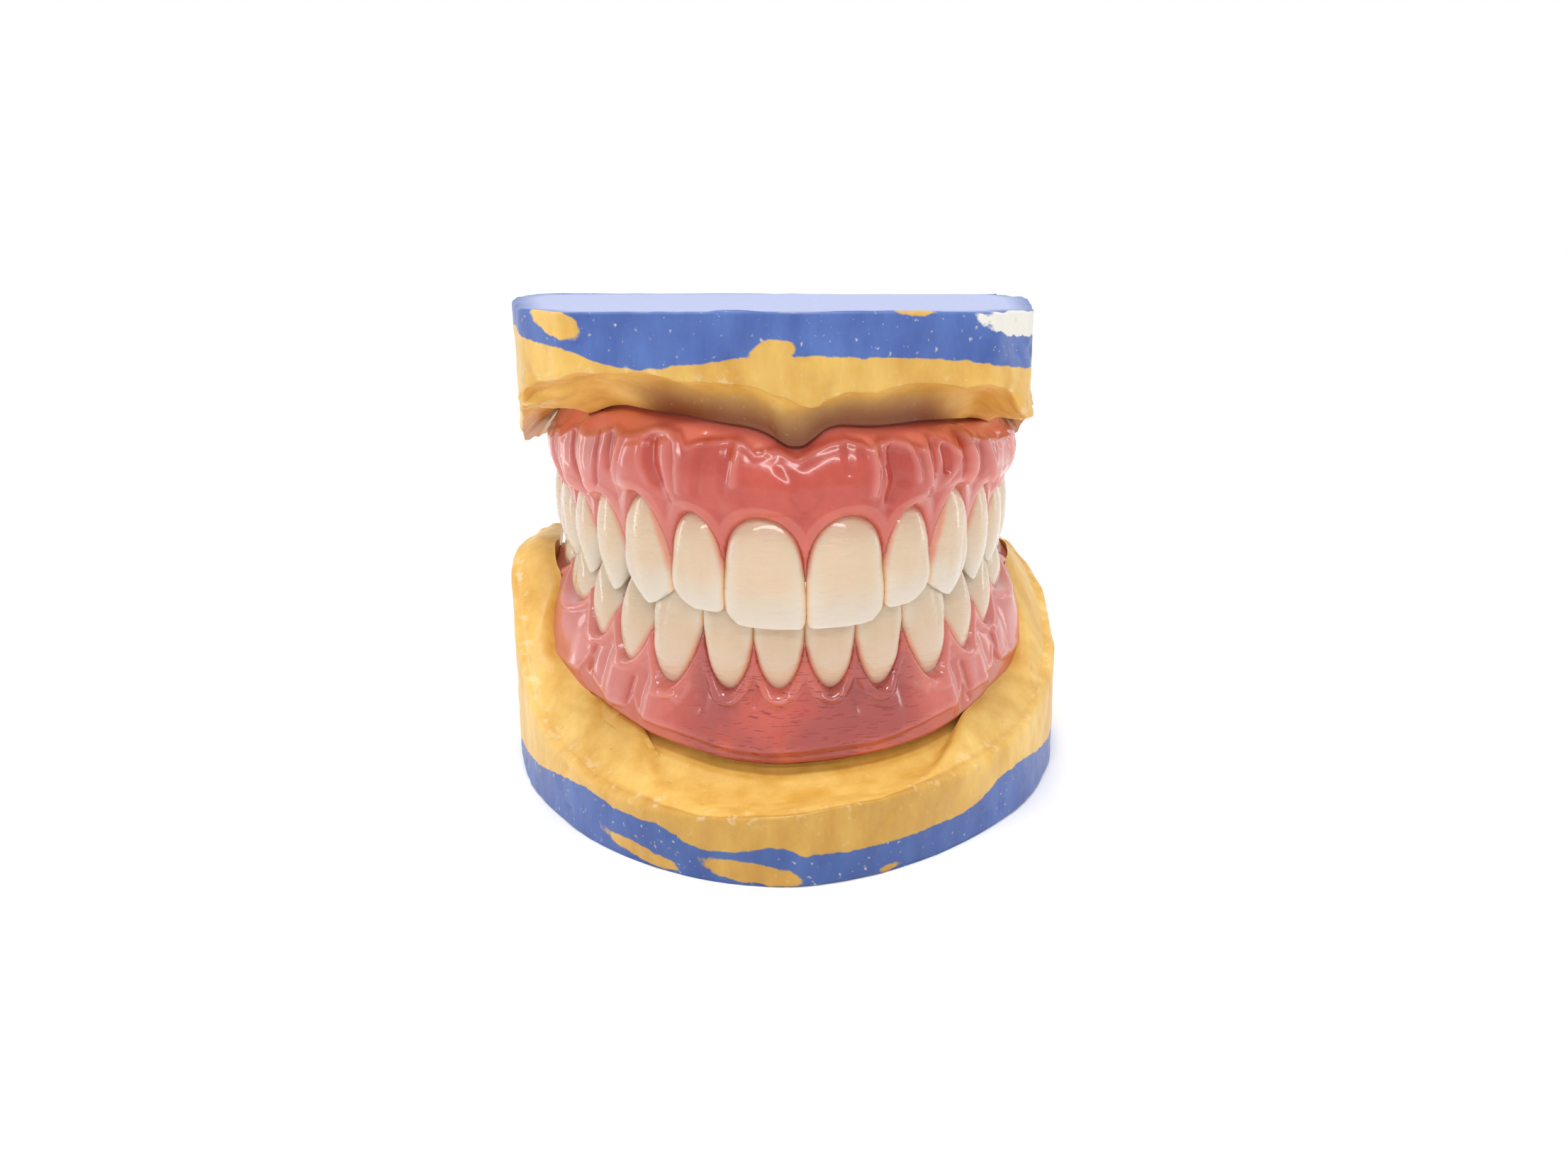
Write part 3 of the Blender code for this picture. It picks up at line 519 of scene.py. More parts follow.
# the scalloped line where the sculpted pink layer stops short of the clearer border, by run
lobeLine = {
    False: ((-56, 12.6), (-50, 13.4), (-40.8, 15.6), (-38, 15.9), (-37.2, 15.4), (-36, 16.6),
            (-32, 17.4), (-30.4, 16.9), (-28.2, 17.4), (-24.4, 18.7), (-22.5, 18.3), (-20.4, 18.7),
            (-18.2, 19.5), (-16.2, 19.7), (-14.2, 19.4), (-13.2, 18.3), (-11.8, 18.8),
            (-9.8, 19.1), (-7.5, 19.3), (-6.5, 19.0), (-5.4, 18.1), (-4.2, 18.3), (-3.0, 18.5),
            (-1.8, 17.9), (-0.8, 17.5), (1, 18.4), (2.8, 19.1), (4.5, 19.3), (6.6, 18.7),
            (7.1, 18.2), (8.5, 18.8), (10.2, 18.6), (12, 18.1), (14, 17.4), (14.8, 18.3),
            (16.2, 18.3), (18, 17.5), (19.1, 16.4), (20, 18.1), (23.2, 17.5), (25.4, 16.4),
            (27, 15.9), (29.8, 15.6), (31, 14.9), (34.2, 14.6), (40, 14.4), (48, 13.4), (56, 12.6)),
    True: ((-56, 10.6), (-50, 11.6), (-45.2, 12.2), (-40, 11.8), (-36.8, 11.6), (-32.2, 11.7),
           (-30.2, 9.4), (-29.4, 9.4), (-28.8, 11.6), (-25.2, 13.1), (-21.7, 12.6), (-20.8, 11.3),
           (-19.8, 12.8), (-17, 13.2), (-14, 13.4), (-10.5, 13.9), (-7.5, 14.4), (-4.5, 14.6),
           (-0.8, 14.4), (3.2, 14.0), (7, 14.0), (10.5, 13.5), (13.5, 13.1), (16.8, 12.6),
           (19.6, 12.2), (20.5, 10.7), (21.3, 12.2), (24.5, 12), (28, 11.4), (29.2, 9.4),
           (30.6, 11.4), (34, 11.9), (41, 11.8), (48, 11.6), (56, 10.6)),
}


def alongTeeth(teeth, run, key):
    # a tooth size read between the middles of the crowns
    middles = [(a + b) / 2 for a, b in toothStarts(teeth).values()]
    return np.interp(np.abs(run), middles, [tooth[key] for tooth in teeth.values()])


def lineDistance(run, height, points):
    # shortest distance to a chain of straight pieces
    best = np.full(np.shape(run), 1e9)
    for (ax, ay), (bx, by) in zip(points[:-1], points[1:]):
        dx, dy = bx - ax, by - ay
        t = np.clip(((run - ax) * dx + (height - ay) * dy) / (dx * dx + dy * dy), 0, 1)
        best = np.minimum(best, np.hypot(run - ax - t * dx, height - ay - t * dy))
    return best


def gumEdge(teeth, run, height):
    # distance outside the nearest crown outline: u^2 + v^arc = 1, u across half the width and
    # v from the papillae up to the neck, read as (level - 1) over the steepness of the level
    nearest = np.full(np.shape(run), 1e9)
    for name, (start, end) in toothStarts(teeth).items():
        tooth = teeth[name]
        a = (end - start) / 2 + 0.12
        low, b, arc = tooth["papilla"], tooth["neck"] - tooth["papilla"], tooth["arc"]
        share = (height - tooth["edge"]) / (tooth["neck"] - tooth["edge"])
        for side in (-1, 1):
            middle = side * ((start + end) / 2 + tooth["lean"] * (share - 0.25))
            u, v = (run - middle) / a, np.clip(height - low, 1e-3, None) / b
            steep = np.hypot(2 * u / a, arc * v ** (arc - 1) / b) + 0.02
            nearest = np.minimum(nearest, (u * u + v ** arc - 1) / steep)
    return nearest


def gumFace(lower, run, height):
    # how far the outer gum face stands out from the arch curve at a run and a height
    teeth, shape = teethOf[lower], jawShape[lower]
    neck = alongTeeth(teeth, run, "neck")
    border = borderHeight(lower, run)
    q = (height - neck) / (border - neck)
    first, second = shape["faceBend"]
    rise = plate["baseLift"] + first * q + second * q * q
    out = np.where(q > 0, rise, plate["baseLift"] - plate["neckSlope"] * (neck - height))
    out = out - plate["borderRound"] * smoothStep(q, 0.9, 1.0) ** 2
    sides = smoothStep(np.abs(run), *plate["bulgeSides"]) * smoothStep(height - neck, -2.5, 1.5)
    out = out + shape["sideBulge"] * sides
    # the roots push the face out, with a valley between each two
    for name, (start, end) in toothStarts(teeth).items():
        tooth = teeth[name]
        reach = bell(height - tooth["neck"] - 1.6, 0.45 * (border - neck))
        for side in (-1, 1):
            middle = side * ((start + end) / 2 + tooth["lean"])
            between = side * (end + 0.5 * tooth["lean"])
            bump = bell(run - middle, plate["rootWidth"] * tooth["width"])
            valley = bell(run - between, plate["valleyWidth"])
            out = out + tooth["root"] * reach * bump - plate["valleyDepth"] * reach * valley
    # the marks fade out before the border
    calm = 1 - smoothStep(q, 0.86, 0.97)
    relief = 0 * out
    for points, width, amount in carvingOf[lower]:
        relief = relief + amount * bell(lineDistance(run, height, points), width) * calm
    out = out + relief
    beyond = height - np.interp(run, *np.array(lobeLine[lower]).T)
    out = out - plate[f"{jawNames[lower]}LobeStep"] * smoothStep(beyond, -0.12, 0.3)
    out = out + plate["lobeLip"] * bell(beyond + 0.4, 0.4)
    edge = gumEdge(teeth, run, height)
    # a cuff with a rounded lip and a step down at its outer edge; thinner on the lower side
    width, lift = plate[f"{jawNames[lower]}Cuff"]
    cuff = 1 - smoothStep(edge, width - 0.12, width + 0.16)
    lip = bell(edge - 0.45 * width, 0.4 * width)
    out = out + lift * (0.8 * cuff + 0.5 * lip)
    under = np.clip(edge, None, 0)
    out = out - plate["sink"] * (1 - np.exp(under / plate["sinkLength"]))
    return out, edge, beyond, relief


def borderHeight(lower, run):
    # height of the free edge of the plate
    return follow(jawShape[lower]["border"], run)


def spineDepth(arch, run):
    # the middle line point a section aims at: a fixed depth at the front, level with the arch
    # behind the teeth
    far, front = np.abs(run), plate["spineFront"]
    endDepth = np.interp(arch["teethEnd"], arch["run"], arch["y"])
    ahead = front + (endDepth - front) * np.clip(far / arch["teethEnd"], 0, 1) ** 1.25
    return np.where(far >= arch["teethEnd"], np.interp(far, arch["run"], arch["y"]), ahead)


def sectionPoints(arch, run, out, towards, height):
    # columns of runs by rows: out along the arch normal, then a share of the way to the spine
    x, y, outX, outY = (line[:, None] for line in archFrame(arch, run))
    spine = spineDepth(arch, run)[:, None]
    across = (x + outX * out) * (1 - towards)
    depth = y + outY * out
    depth = depth + (spine - depth) * towards
    return np.stack([across, depth, height + 0 * across], axis=-1)


def denser(steps, count):
    # a few (out, towards, height) rows per run, resampled at equal lengths on a Hermite curve
    # whose slope at a row is the tension times the step between the rows beside it; the whole
    # way to the spine counts as spineLength
    steps = np.stack([np.stack(np.broadcast_arrays(*row), axis=-1) for row in steps], axis=1)
    lengths = np.linalg.norm(np.diff(steps * [1, plate["spineLength"], 1], axis=1), axis=-1)
    place = np.append(0, np.cumsum(lengths.mean(axis=0) + 1e-6))
    fine = np.linspace(0, place[-1], count)
    last = len(place) - 1
    index = np.clip(np.searchsorted(place, fine, side="right") - 1, 0, last - 1)
    t = ((fine - place[index]) / (place[index + 1] - place[index]))[None, :, None]
    a, b = steps[:, index], steps[:, index + 1]
    slopeA = plate["tension"] * (b - steps[:, np.clip(index - 1, 0, None)])
    slopeB = plate["tension"] * (steps[:, np.clip(index + 2, None, last)] - a)
    path = (2 * t ** 3 - 3 * t ** 2 + 1) * a + (t ** 3 - 2 * t ** 2 + t) * slopeA
    path = path + (-2 * t ** 3 + 3 * t ** 2) * b + (t ** 3 - t ** 2) * slopeB
    return np.moveaxis(path, -1, 0)


def signedRuns(step, last):
    # even runs from the rear of one side round to the rear of the other
    half = np.linspace(0, last, int(last / step) + 1)
    return np.concatenate([-half[:0:-1], half])


def tissueSteps(lower, run):
    # the side that lies on the ridge: border fold, crest of the ridge, palate or tongue side
    teeth = teethOf[lower]
    neck, deep = alongTeeth(teeth, run, "neck"), alongTeeth(teeth, run, "thick")
    border = borderHeight(lower, run)
    crest = neck + bite["rootCover"] + plate["crestCover"]
    if lower:
        return [(1.7, 0, border + 1.0), (-0.4, 0, border + 0.6), (-1.2, 0, (border + crest) / 2),
                (-2.2, 0, crest + 0.2), (-deep * 0.72, 0, crest), (-deep - 0.4, 0, border - 0.4),
                (-deep - 1.4, 0, border + 1.9), (-deep - 3.4, 0.1, border + 2.2)]
    palate = follow(palateRise, np.abs(run)) + plate["baseThickness"]
    return [(-2.6, 0, border + 1.1), (-3.4, 0, border + 0.4), (-3.9, 0, (border + crest) / 2 + 0.6),
            (-4.6, 0, crest + 0.3), (-deep * 0.8, 0, crest),
            (-deep - 2, 0, crest + (palate - crest) * 0.35),
            (-deep - 2, 0.35, crest + (palate - crest) * 0.8), (-deep - 2, 0.7, palate),
            (0 * deep, 1.0, palate + 0.3)]


def tongueSteps(lower, run, inner):
    # the side towards the tongue, from under the crowns: the flange of the lower plate, or the
    # palate up to the middle line
    deep = alongTeeth(teethOf[lower], run, "thick")
    under = [(-deep + 0.8, 0, inner - 0.2), (-deep + 0.1, 0, inner - 0.3)]
    if lower:
        border = borderHeight(True, run)
        return under + [(-deep - 0.8, 0, inner + 0.5), (-deep - 1.7, 0, (inner + border) / 2),
                        (-deep - 2.5, 0, border + 0.2), (-deep - 2.3, 0, border + 0.9),
                        (-deep - 1.6, 0, border + 1.2)]
    palate = follow(palateRise, np.abs(run))
    return under + [(-deep - 0.9, 0, inner + 0.5), (-deep - 1.6, 0.1, (inner + palate) / 2),
                    (-deep - 2.0, 0.35, palate - 1.0), (-deep - 2.0, 0.7, palate - 0.1),
                    (0 * deep, 1.0, palate + 0.2)]


def addPlate(lower, material):
    # sections all round: outer face, a strip under the crowns, tongue side and tissue side
    arch, teeth, jaw = curves[lower], teethOf[lower], jawNames[lower]
    run = signedRuns(plate["runStep"], np.interp(plate["plateEnd"], arch["y"], arch["run"]))
    neck, deep, papilla = (alongTeeth(teeth, run, key) for key in ("neck", "thick", "papilla"))
    # the face reaches down between the crowns, and less far behind the last one
    past = smoothStep(np.abs(run), arch["teethEnd"] - 0.5, arch["teethEnd"] + 1.5)
    foot = papilla - 1.0
    foot = foot + (neck * 1.05 - foot) * past
    k = np.linspace(0, 1, plate["outerRows"])[None, :]
    height = (borderHeight(lower, run) + 0.15)[:, None] * (1 - k) + foot[:, None] * k
    out, edge, beyond, relief = gumFace(lower, run[:, None] + 0 * height, height)
    inner = np.maximum(neck * 0.9, foot)
    k = np.linspace(0, 1, plate["bridgeRows"] + 2)[None, 1:-1]
    bridgeOut = out[:, -1:] * (1 - k) + (0.8 - deep)[:, None] * k
    bridgeHeight = height[:, -1:] * (1 - k) + (inner - 0.2)[:, None] * k
    tongue = denser(tongueSteps(lower, run, inner), plate["innerRows"])
    steps = tissueSteps(lower, run)[1:-1 if lower else None]
    steps = [(o, t, h - plate["tissueGap"]) for o, t, h in steps[::-1]]
    tissue = denser(steps, plate["tissueRows"])
    parts = (out, 0 * out, height), (bridgeOut, 0 * bridgeOut, bridgeHeight), tongue, tissue
    outs, towards, heights = (np.concatenate(rows, axis=1) for rows in zip(*parts))
    points = sectionPoints(arch, run, outs, towards, (-1 if lower else 1) * heights)
    count, rows = outs.shape
    cells = gridQuads(count, rows, wrap=True)
    ends = [list(range(rows)), list(range((count - 1) * rows, count * rows))]
    if not lower:
        # the two spine rows touch those of the other half, so no cells join them, and one face
        # closes both rear ends
        split = plate["outerRows"] + plate["bridgeRows"] + plate["innerRows"]
        cells = np.delete(cells.reshape(count - 1, rows, 4), split - 1, axis=1).reshape(-1, 4)
        left, right = ends
        ends = [left[:split] + right[:split][::-1] + right[split:][::-1] + left[split:]]
    blank = np.zeros((count, rows - out.shape[1]))
    # the share towards the cheek sides; with relief it also sets the painted sheen and the painted
    # shade of the gum material
    sideward = smoothStep(np.abs(run), *plate[f"{jaw}Sides"])[:, None] + 0 * heights
    values = {"borderward": np.hstack([-beyond, 9 + blank]),
              "crownward": np.hstack([edge, 9 + blank]),
              "relief": np.hstack([relief, blank]), "sideward": sideward}
    mesh = closedMesh(f"{jaw}_gum", toWorld(points), cells.tolist() + ends, values)
    uneven = roughNoise(meshPoints(mesh) / mm, 3.4, 11 + lower, 2)
    moveAlongNormals(mesh, plate["unevenness"] * uneven)
    addPiece(f"{jaw}_gum", mesh, material, "pink_acrylic", f"{jaw}_denture_base")


# Stone casts

cast = {"runStep": 0.45, "flatRows": 12, "wallRows": 46, "landRows": 22, "ridgeRows": 40,
        "floorRows": 13, "edgeRound": 0.45, "upperRimRound": 0.35, "lowerRimRound": 0.3,
        "trim": 0.12, "sharpAngle": 48, "lowerBottom": -25.1, "lowerHalf": 35.0,
        "lowerFront": -8.4, "lowerWidest": 38.0, "lowerBow": 1.8, "heelTuck": 2.0,
        "tongueFloor": -17.4, "upperTop": 32.2, "topTilt": math.tan(math.radians(0.8)),
        "upperShift": -2.3, "shiftFade": 0.8, "upperTurn": 0.88, "lowerTurn": 0.84,
        "landDip": 0.7, "landSwell": 0.5, "raggedness": 0.35, "swells": 0.16, "ripples": 0.05,
        "chips": 0.4, "lumps": 0.75, "lumpCorner": 31.5, "cornerWidth": 5, "lumpReach": 2.6,
        "fleckReach": 0.8, "fleckRows": 5, "swellSize": 7.0, "rippleSize": 1.6, "chipSize": 2.2,
        "lumpSize": 2.2, "rimRoundSides": (8, 22), "climbSides": (14, 21), "meetSides": (27, 33),
        "swellSides": (24, 29), "hollowSides": (16, 28), "frontShadeSides": (12, 28)}
# where the lower outline leans to the viewer's left, by depth
lowerSkew = ((-8.4, -2.3), (-3, -1.7), (5, -1.1), (10, -0.5), (30, 0), (60, 0))
# upper edge of the lower cast by run
landRim = ((-63, 1.4), (-57, 1.4), (-54.5, 1.4), (-52.5, 0.9), (-49.8, -1.2), (-47.4, -4),
           (-43.3, -7.8), (-40, -11.6), (-37, -14.4), (-33, -16.2), (-26, -17.2), (-21, -17.8),
           (-16, -18.1), (-11, -18), (-6, -17.7), (0, -17.1), (6.8, -16.6), (19, -16.4),
           (24, -16), (29, -15.4), (34, -14.6), (38, -13.4), (42, -12.1), (47.4, -9.5),
           (51.5, -7.2), (54, -5.8), (57, -3.9), (63, -2))
# half of the upper outline: share of the run to the rear, x and y
upperPlan = ((0, 0, -0.6), (0.36, 21.4, -0.6), (0.46, 26.2, 4.4), (0.62, 29, 20),
             (0.74, 30.8, 30), (0.86, 32, 40), (1, 30.6, 50))
# lower edge of the upper cast by run: it hangs down at the frenum and in lumps at the corners
artEdge = ((-64, 14), (-54, 14.9), (-46.6, 17.1), (-39, 20), (-33, 22.7), (-30, 23.5),
           (-28.6, 25.1), (-26.2, 25.8), (-21, 26.5), (-14.7, 26.2), (-10.4, 25.4), (-4.2, 24.7),
           (-1.2, 23.7), (1.6, 22.9), (3.1, 22.2), (4.6, 23.2), (6, 23.9), (12, 24.4),
           (23.3, 24.5), (26.3, 24), (27.6, 21.8), (29, 20.5), (31.5, 20.3), (34, 20.6), (39, 19),
           (46.6, 16.8), (54, 14.6), (64, 14))
# where yellow stone meets blue plaster, as run along the outline and height, and the yellow
# blobs in the blue: run, height, half length, half height and tilt
lowerPour = ((-64, -21.6), (-48, -22.2), (-36, -20.6), (-31, -19.6), (-26, -19.0), (-22, -19.8),
             (-18, -20.0), (-16, -19.9), (-12.8, -21.3), (-10.6, -21.8), (-7.4, -21.5),
             (-3.8, -20.7), (-1.6, -20.7), (1.8, -21.7), (5.6, -21.7), (11.6, -21.8),
             (15.8, -21.5), (20, -21.6), (22.6, -21.1), (26, -19.6), (30.2, -19.3),
             (35.8, -20.4), (44, -21.6), (64, -20.6))
upperPour = ((-64, 29.0), (-33, 30.6), (-23, 28.9), (-18.5, 27.3), (-16, 26.8), (-13.3, 26.8),
             (-8.5, 27.3), (-3.5, 27.7), (3.1, 27.8), (8.1, 27.5), (13.5, 27.4), (19.7, 27.1),
             (28.3, 25.8), (64, 26.6))
lowerBlobs = ((-18.4, -23.8, 4.9, 0.8, -0.17), (-5.0, -23.7, 6.0, 1.2, -0.1),
              (11.2, -24.6, 1.0, 0.35, 0.1))
upperBlobs = ((-24.2, 31.5, 3.3, 1.4, -0.35), (-1.0, 28.3, 2.5, 1.1, 0.1),
              (14.3, 32.1, 1.9, 0.6, 0))
# how high the stone meets the gum face at the lower sides, by run
stoneContact = ((-63, 1.6), (-54, 1.6), (-50, 1.0), (-47, -0.5), (-44, -3), (-41.5, -6.5),
                (-38.6, -9.6), (-33.5, -11.2), (-30, -12.4), (-26, -13.6), (-23.6, -14),
                (-18.5, -14.8), (-12, -15.2), (0, -15.6), (12, -14.8), (15, -14.4), (21, -13.8),
                (27, -12.9), (33.7, -12.1), (37, -10.3), (40, -7.5), (43, -3.6), (46, -1.2),
                (50, 0), (63, 0))
# bare off-white plaster at the viewer's right of the upper cast
scuffs = ((27.0, 30.6, 6.0, 1.5, -0.12),)
castShape = {
    False: {"rim": artEdge, "raggedShare": 1.0, "pour": upperPour, "blobs": upperBlobs,
            "scuffs": scuffs},
    True: {"rim": landRim, "raggedShare": 0.4, "pour": lowerPour, "blobs": lowerBlobs,
           "scuffs": ()},
}


def uprightHeight(height, y):
    # a height above the world's level plane, read in the bite frame
    return height - bite["slope"] * y


def lowerOutline(run, arch):
    # a rounded front by a superellipse and straight heels drawn in towards the rear
    far, end, widest = np.abs(run), arch["teethEnd"], cast["lowerWidest"]
    angle = np.clip(far / end, 0, 1) * math.pi / 2
    bow = 2 / cast["lowerBow"]
    x = cast["lowerHalf"] * np.sin(angle) ** bow
    y = widest - (widest - cast["lowerFront"]) * np.clip(np.cos(angle), 0, 1) ** bow
    share = np.clip((far - end) / (arch["last"] - end), 0, 1)
    x, y = x - cast["heelTuck"] * share, y + (bite["castRear"] - y) * share
    return np.sign(run) * x + follow(lowerSkew, y), y


def upperOutline(run, arch):
    # flats cut at the front, the front corners and the sides, with slightly rounded corners
    keys, xs, ys = np.array(upperPlan).T
    share = np.abs(run) / arch["last"]
    spots = np.abs(share + np.linspace(-0.012, 0.012, 7)[:, None])
    x, y = (np.mean(np.interp(spots, keys, line), axis=0) for line in (xs, ys))
    y = np.where(share > 0.99, bite["castRear"], y)
    shift = cast["upperShift"] * (1 - cast["shiftFade"] * y / bite["castRear"])
    return np.sign(run) * x + shift, y


def roundedWall(x, y, spine, top, bottom, rimRound):
    # rows down a wall, closer together at both edges, which are rounded by quarter circles
    t = 0.5 - 0.5 * np.cos(np.linspace(0, np.pi, cast["wallRows"]))[None, :]
    height = top[:, None] * (1 - t) + bottom[:, None] * t
    inset = 0 * height
    for end, radius in ((top, cast["edgeRound"] + 0 * x), (bottom, rimRound)):
        radius = radius[:, None]
        lack = np.clip(radius - np.abs(height - end[:, None]), 0, radius)
        inset = inset + radius - np.sqrt(radius ** 2 - lack ** 2)
    reach = np.hypot(x, y - spine)[:, None]
    share = inset / reach
    return x[:, None] * (1 - share), y[:, None] + (spine - y)[:, None] * share, height


def blobField(run, height, blobs):
    # largest of 1 - (distance in the turned ellipse of the blob), in millimetres of its size
    best = np.full(np.shape(run), -9.0)
    for at, level, long, tall, tilt in blobs:
        c, s = math.cos(tilt), math.sin(tilt)
        u = ((run - at) * c + (height - level) * s) / long
        v = ((height - level) * c - (run - at) * s) / tall
        best = np.maximum(best, (1 - np.hypot(u, v)) * min(long, tall))
    return best


def castOuter(lower, run, x, y, rim):
    # the flat outer plane from the spine to the outline, then the wall with both edges rounded
    spine = spineDepth(curves[lower], run)
    level, tilt = (cast["lowerBottom"], 0.0) if lower else (cast["upperTop"], cast["topTilt"])
    shares = np.linspace(0, 1, cast["flatRows"] + 1)[None, :-1]
    shares = shares * (1 - cast["edgeRound"] / np.hypot(x, y - spine))[:, None]
    flatX = x[:, None] * shares
    flatY = spine[:, None] + (y - spine)[:, None] * shares
    rimRound = cast["upperRimRound"] + 0 * run
    if lower:
        rimRound = cast["lowerRimRound"] + smoothStep(np.abs(run), *cast["rimRoundSides"])
    wallX, wallY, wallHeight = roundedWall(x, y, spine, level - tilt * x, rim, rimRound)
    x, y = np.hstack([flatX, wallX]), np.hstack([flatY, wallY])
    height = np.hstack([level - tilt * flatX, wallHeight])
    return np.stack([x, y, uprightHeight(height, y)], axis=-1)


def landBetween(rim, contact, ridge, turn, swell, power):
    # rows from the rim to the line where the gum is met, at the share called turn, then down
    # behind the gum to the ridge: straight, plus swell times sin(pi t^power) before the turn
    t = np.linspace(0, 1, cast["landRows"] + 2)[None, 1:-1, None]
    along = np.clip(t / turn, 0, 1)
    behind = np.clip((t - turn) / (1 - turn), 0, 1)
    rows = (rim * (1 - along) + contact * along) * (1 - behind) + ridge * behind
    rows[..., 2] += swell * np.sin(np.pi * along[..., 0] ** power)
    return rows


def castTissue(lower, run, y, rim):
    # the side towards the gums: land or vestibule from the rim, the ridge, the tongue's floor
    arch, far = curves[lower], np.abs(run)
    sign = -1 if lower else 1
    out, towards, height = denser(tissueSteps(lower, run), cast["ridgeRows"])
    ridge = sectionPoints(arch, run, out, towards, sign * height)
    first, inner = ridge[:, :1], ridge[:, -1:]
    if not lower:
        # a hollow vestibule: steep behind the edge, then flat until it meets the gum border
        meet = borderHeight(False, run) - 0.1 - 0.9 * smoothStep(far, *cast["meetSides"])
        touch = gumFace(False, run, meet - 0.2)[0] - 0.2
        contact = sectionPoints(arch, run, touch[:, None], 0, meet[:, None])
        swell = (1.5 - 1.2 * smoothStep(far, *cast["swellSides"]))[:, None]
        return [landBetween(rim, contact, first, cast["upperTurn"], swell, 1.2), ridge]
    # at the front the land dips a little before it climbs to the flange
    t = np.linspace(0, 1, cast["landRows"] + 2)[None, 1:-1, None]
    front = rim * (1 - t) + first * t
    front[..., 2] -= cast["landDip"] * np.sin(np.pi * t[..., 0] ** 1.6)
    # at the sides it rises to meet the gum face and goes down behind it
    meet = -uprightHeight(follow(stoneContact, run), y)
    neck = alongTeeth(lowerTeeth, run, "neck")
    touch = gumFace(True, run, np.maximum(meet, neck + 0.3))[0]
    touch = np.maximum(touch, -0.2) - 0.25
    contact = sectionPoints(arch, run, touch[:, None], 0, -meet[:, None])
    side = landBetween(rim, contact, first, cast["lowerTurn"], cast["landSwell"], 1.0)
    climb = smoothStep(far, *cast["climbSides"])[:, None, None]
    # the floor under the tongue reaches from the foot of the ridge to the middle line
    spine = spineDepth(arch, run)
    middle = np.stack([0 * spine, spine, uprightHeight(cast["tongueFloor"], spine)], axis=-1)
    u = np.linspace(0, 1, cast["floorRows"] + 1)[None, 1:, None]
    floor = inner * (1 - u) + middle[:, None] * u
    drop = middle[:, None, 2] - inner[..., 2]
    floor[..., 2] = inner[..., 2] + drop * smoothStep(u[..., 0], 0, 0.6)
    return [front * (1 - climb) + side * climb, ridge, floor]


def castValues(lower, run, rows, rim):
    # what the stone material and the roughening read at each point; runs follow the outline,
    # so the pour reads the same run all along a section
    shape = castShape[lower]
    upright = rows[..., 2] + bite["slope"] * rows[..., 1]
    runs = run[:, None] + 0 * upright
    far, blank = np.abs(runs), 0 * upright
    wallStart = cast["flatRows"]
    landStart = wallStart + cast["wallRows"]
    landEnd = landStart + cast["landRows"]
    below = upright - rim[:, None]
    pour = (1 if lower else -1) * (upright - np.interp(runs, *np.array(shape["pour"]).T))
    pour = np.maximum(pour, blobField(runs, upright, shape["blobs"]))
    scuff = blobField(runs, upright, shape["scuffs"])
    pour[:, :wallStart] = -3.0
    scuff[:, :wallStart] = -3.0
    # 0 on the outer sides, growing to 1 over the land, and 1 on the ridge
    inside = blank.copy()
    inside[:, landStart:landEnd] = np.linspace(0, 1, cast["landRows"])
    inside[:, landEnd:] = 1
    # the flat outer face: roughened less, and painted paler as a sheen in the stone material
    plain = blank.copy()
    plain[1:-1, :wallStart] = 1
    # painted shade: the front of the wall is darker than the land, fading towards the sides
    paintedFrontShade = blank.copy()
    paintedFrontShade[:, wallStart:landStart] = 1.0 if lower else 0.5
    # the lumps follow the rim, and are largest at the front corners of the upper cast
    nearRim = bell(below, cast["lumpReach"]) * (1 - inside) ** 1.5
    nearRim[:, :wallStart] = 0
    corner = blank if lower else bell(far - cast["lumpCorner"], cast["cornerWidth"])
    rimward = bell(below, cast["fleckReach"])
    rimward[:, :wallStart + cast["wallRows"] // 2] = 0
    rimward[:, landStart + cast["fleckRows"]:] = 0
    # hollow carries the painted shade inside the rim, fading towards the sides
    return {"pour": pour, "inside": inside, "lump": nearRim * (0.12 + corner), "scuff": scuff,
            "rimward": rimward, "plain": plain,
            "hollow": inside * (1 - 0.85 * smoothStep(far, *cast["hollowSides"])),
            "paintedFrontShade": paintedFrontShade * (1 - smoothStep(far, *cast["frontShadeSides"]))}


def roughenStone(lower, mesh):
    # cast stone is never flat: broad swells, ripples left by trimming, chipped and lumpy edges
    points = meshPoints(mesh) / mm
    inside, plain, lump = (readValues(mesh.attributes[key].data, "value")[:, 0]
                           for key in ("inside", "plain", "lump"))
    chips = np.clip(roughNoise(points, cast["chipSize"], 21, 3) - 0.55, 0, None)
    amount = cast["swells"] * roughNoise(points, cast["swellSize"], 17, 3)
    amount = amount + cast["ripples"] * roughNoise(points, cast["rippleSize"], 9, 2)
    amount = amount - cast["chips"] * chips
    amount = amount * (1 - 0.7 * inside) * (1 - 0.9 * plain) - cast["trim"]
    amount = amount + cast["lumps"] * lump * roughNoise(points, cast["lumpSize"], 51, 3)
    if lower:
        # the underside stays flat
        underside = points[:, 2].min() + 0.05
        amount = np.where(points[:, 2] < underside, 0.0, amount)
    moveAlongNormals(mesh, amount)


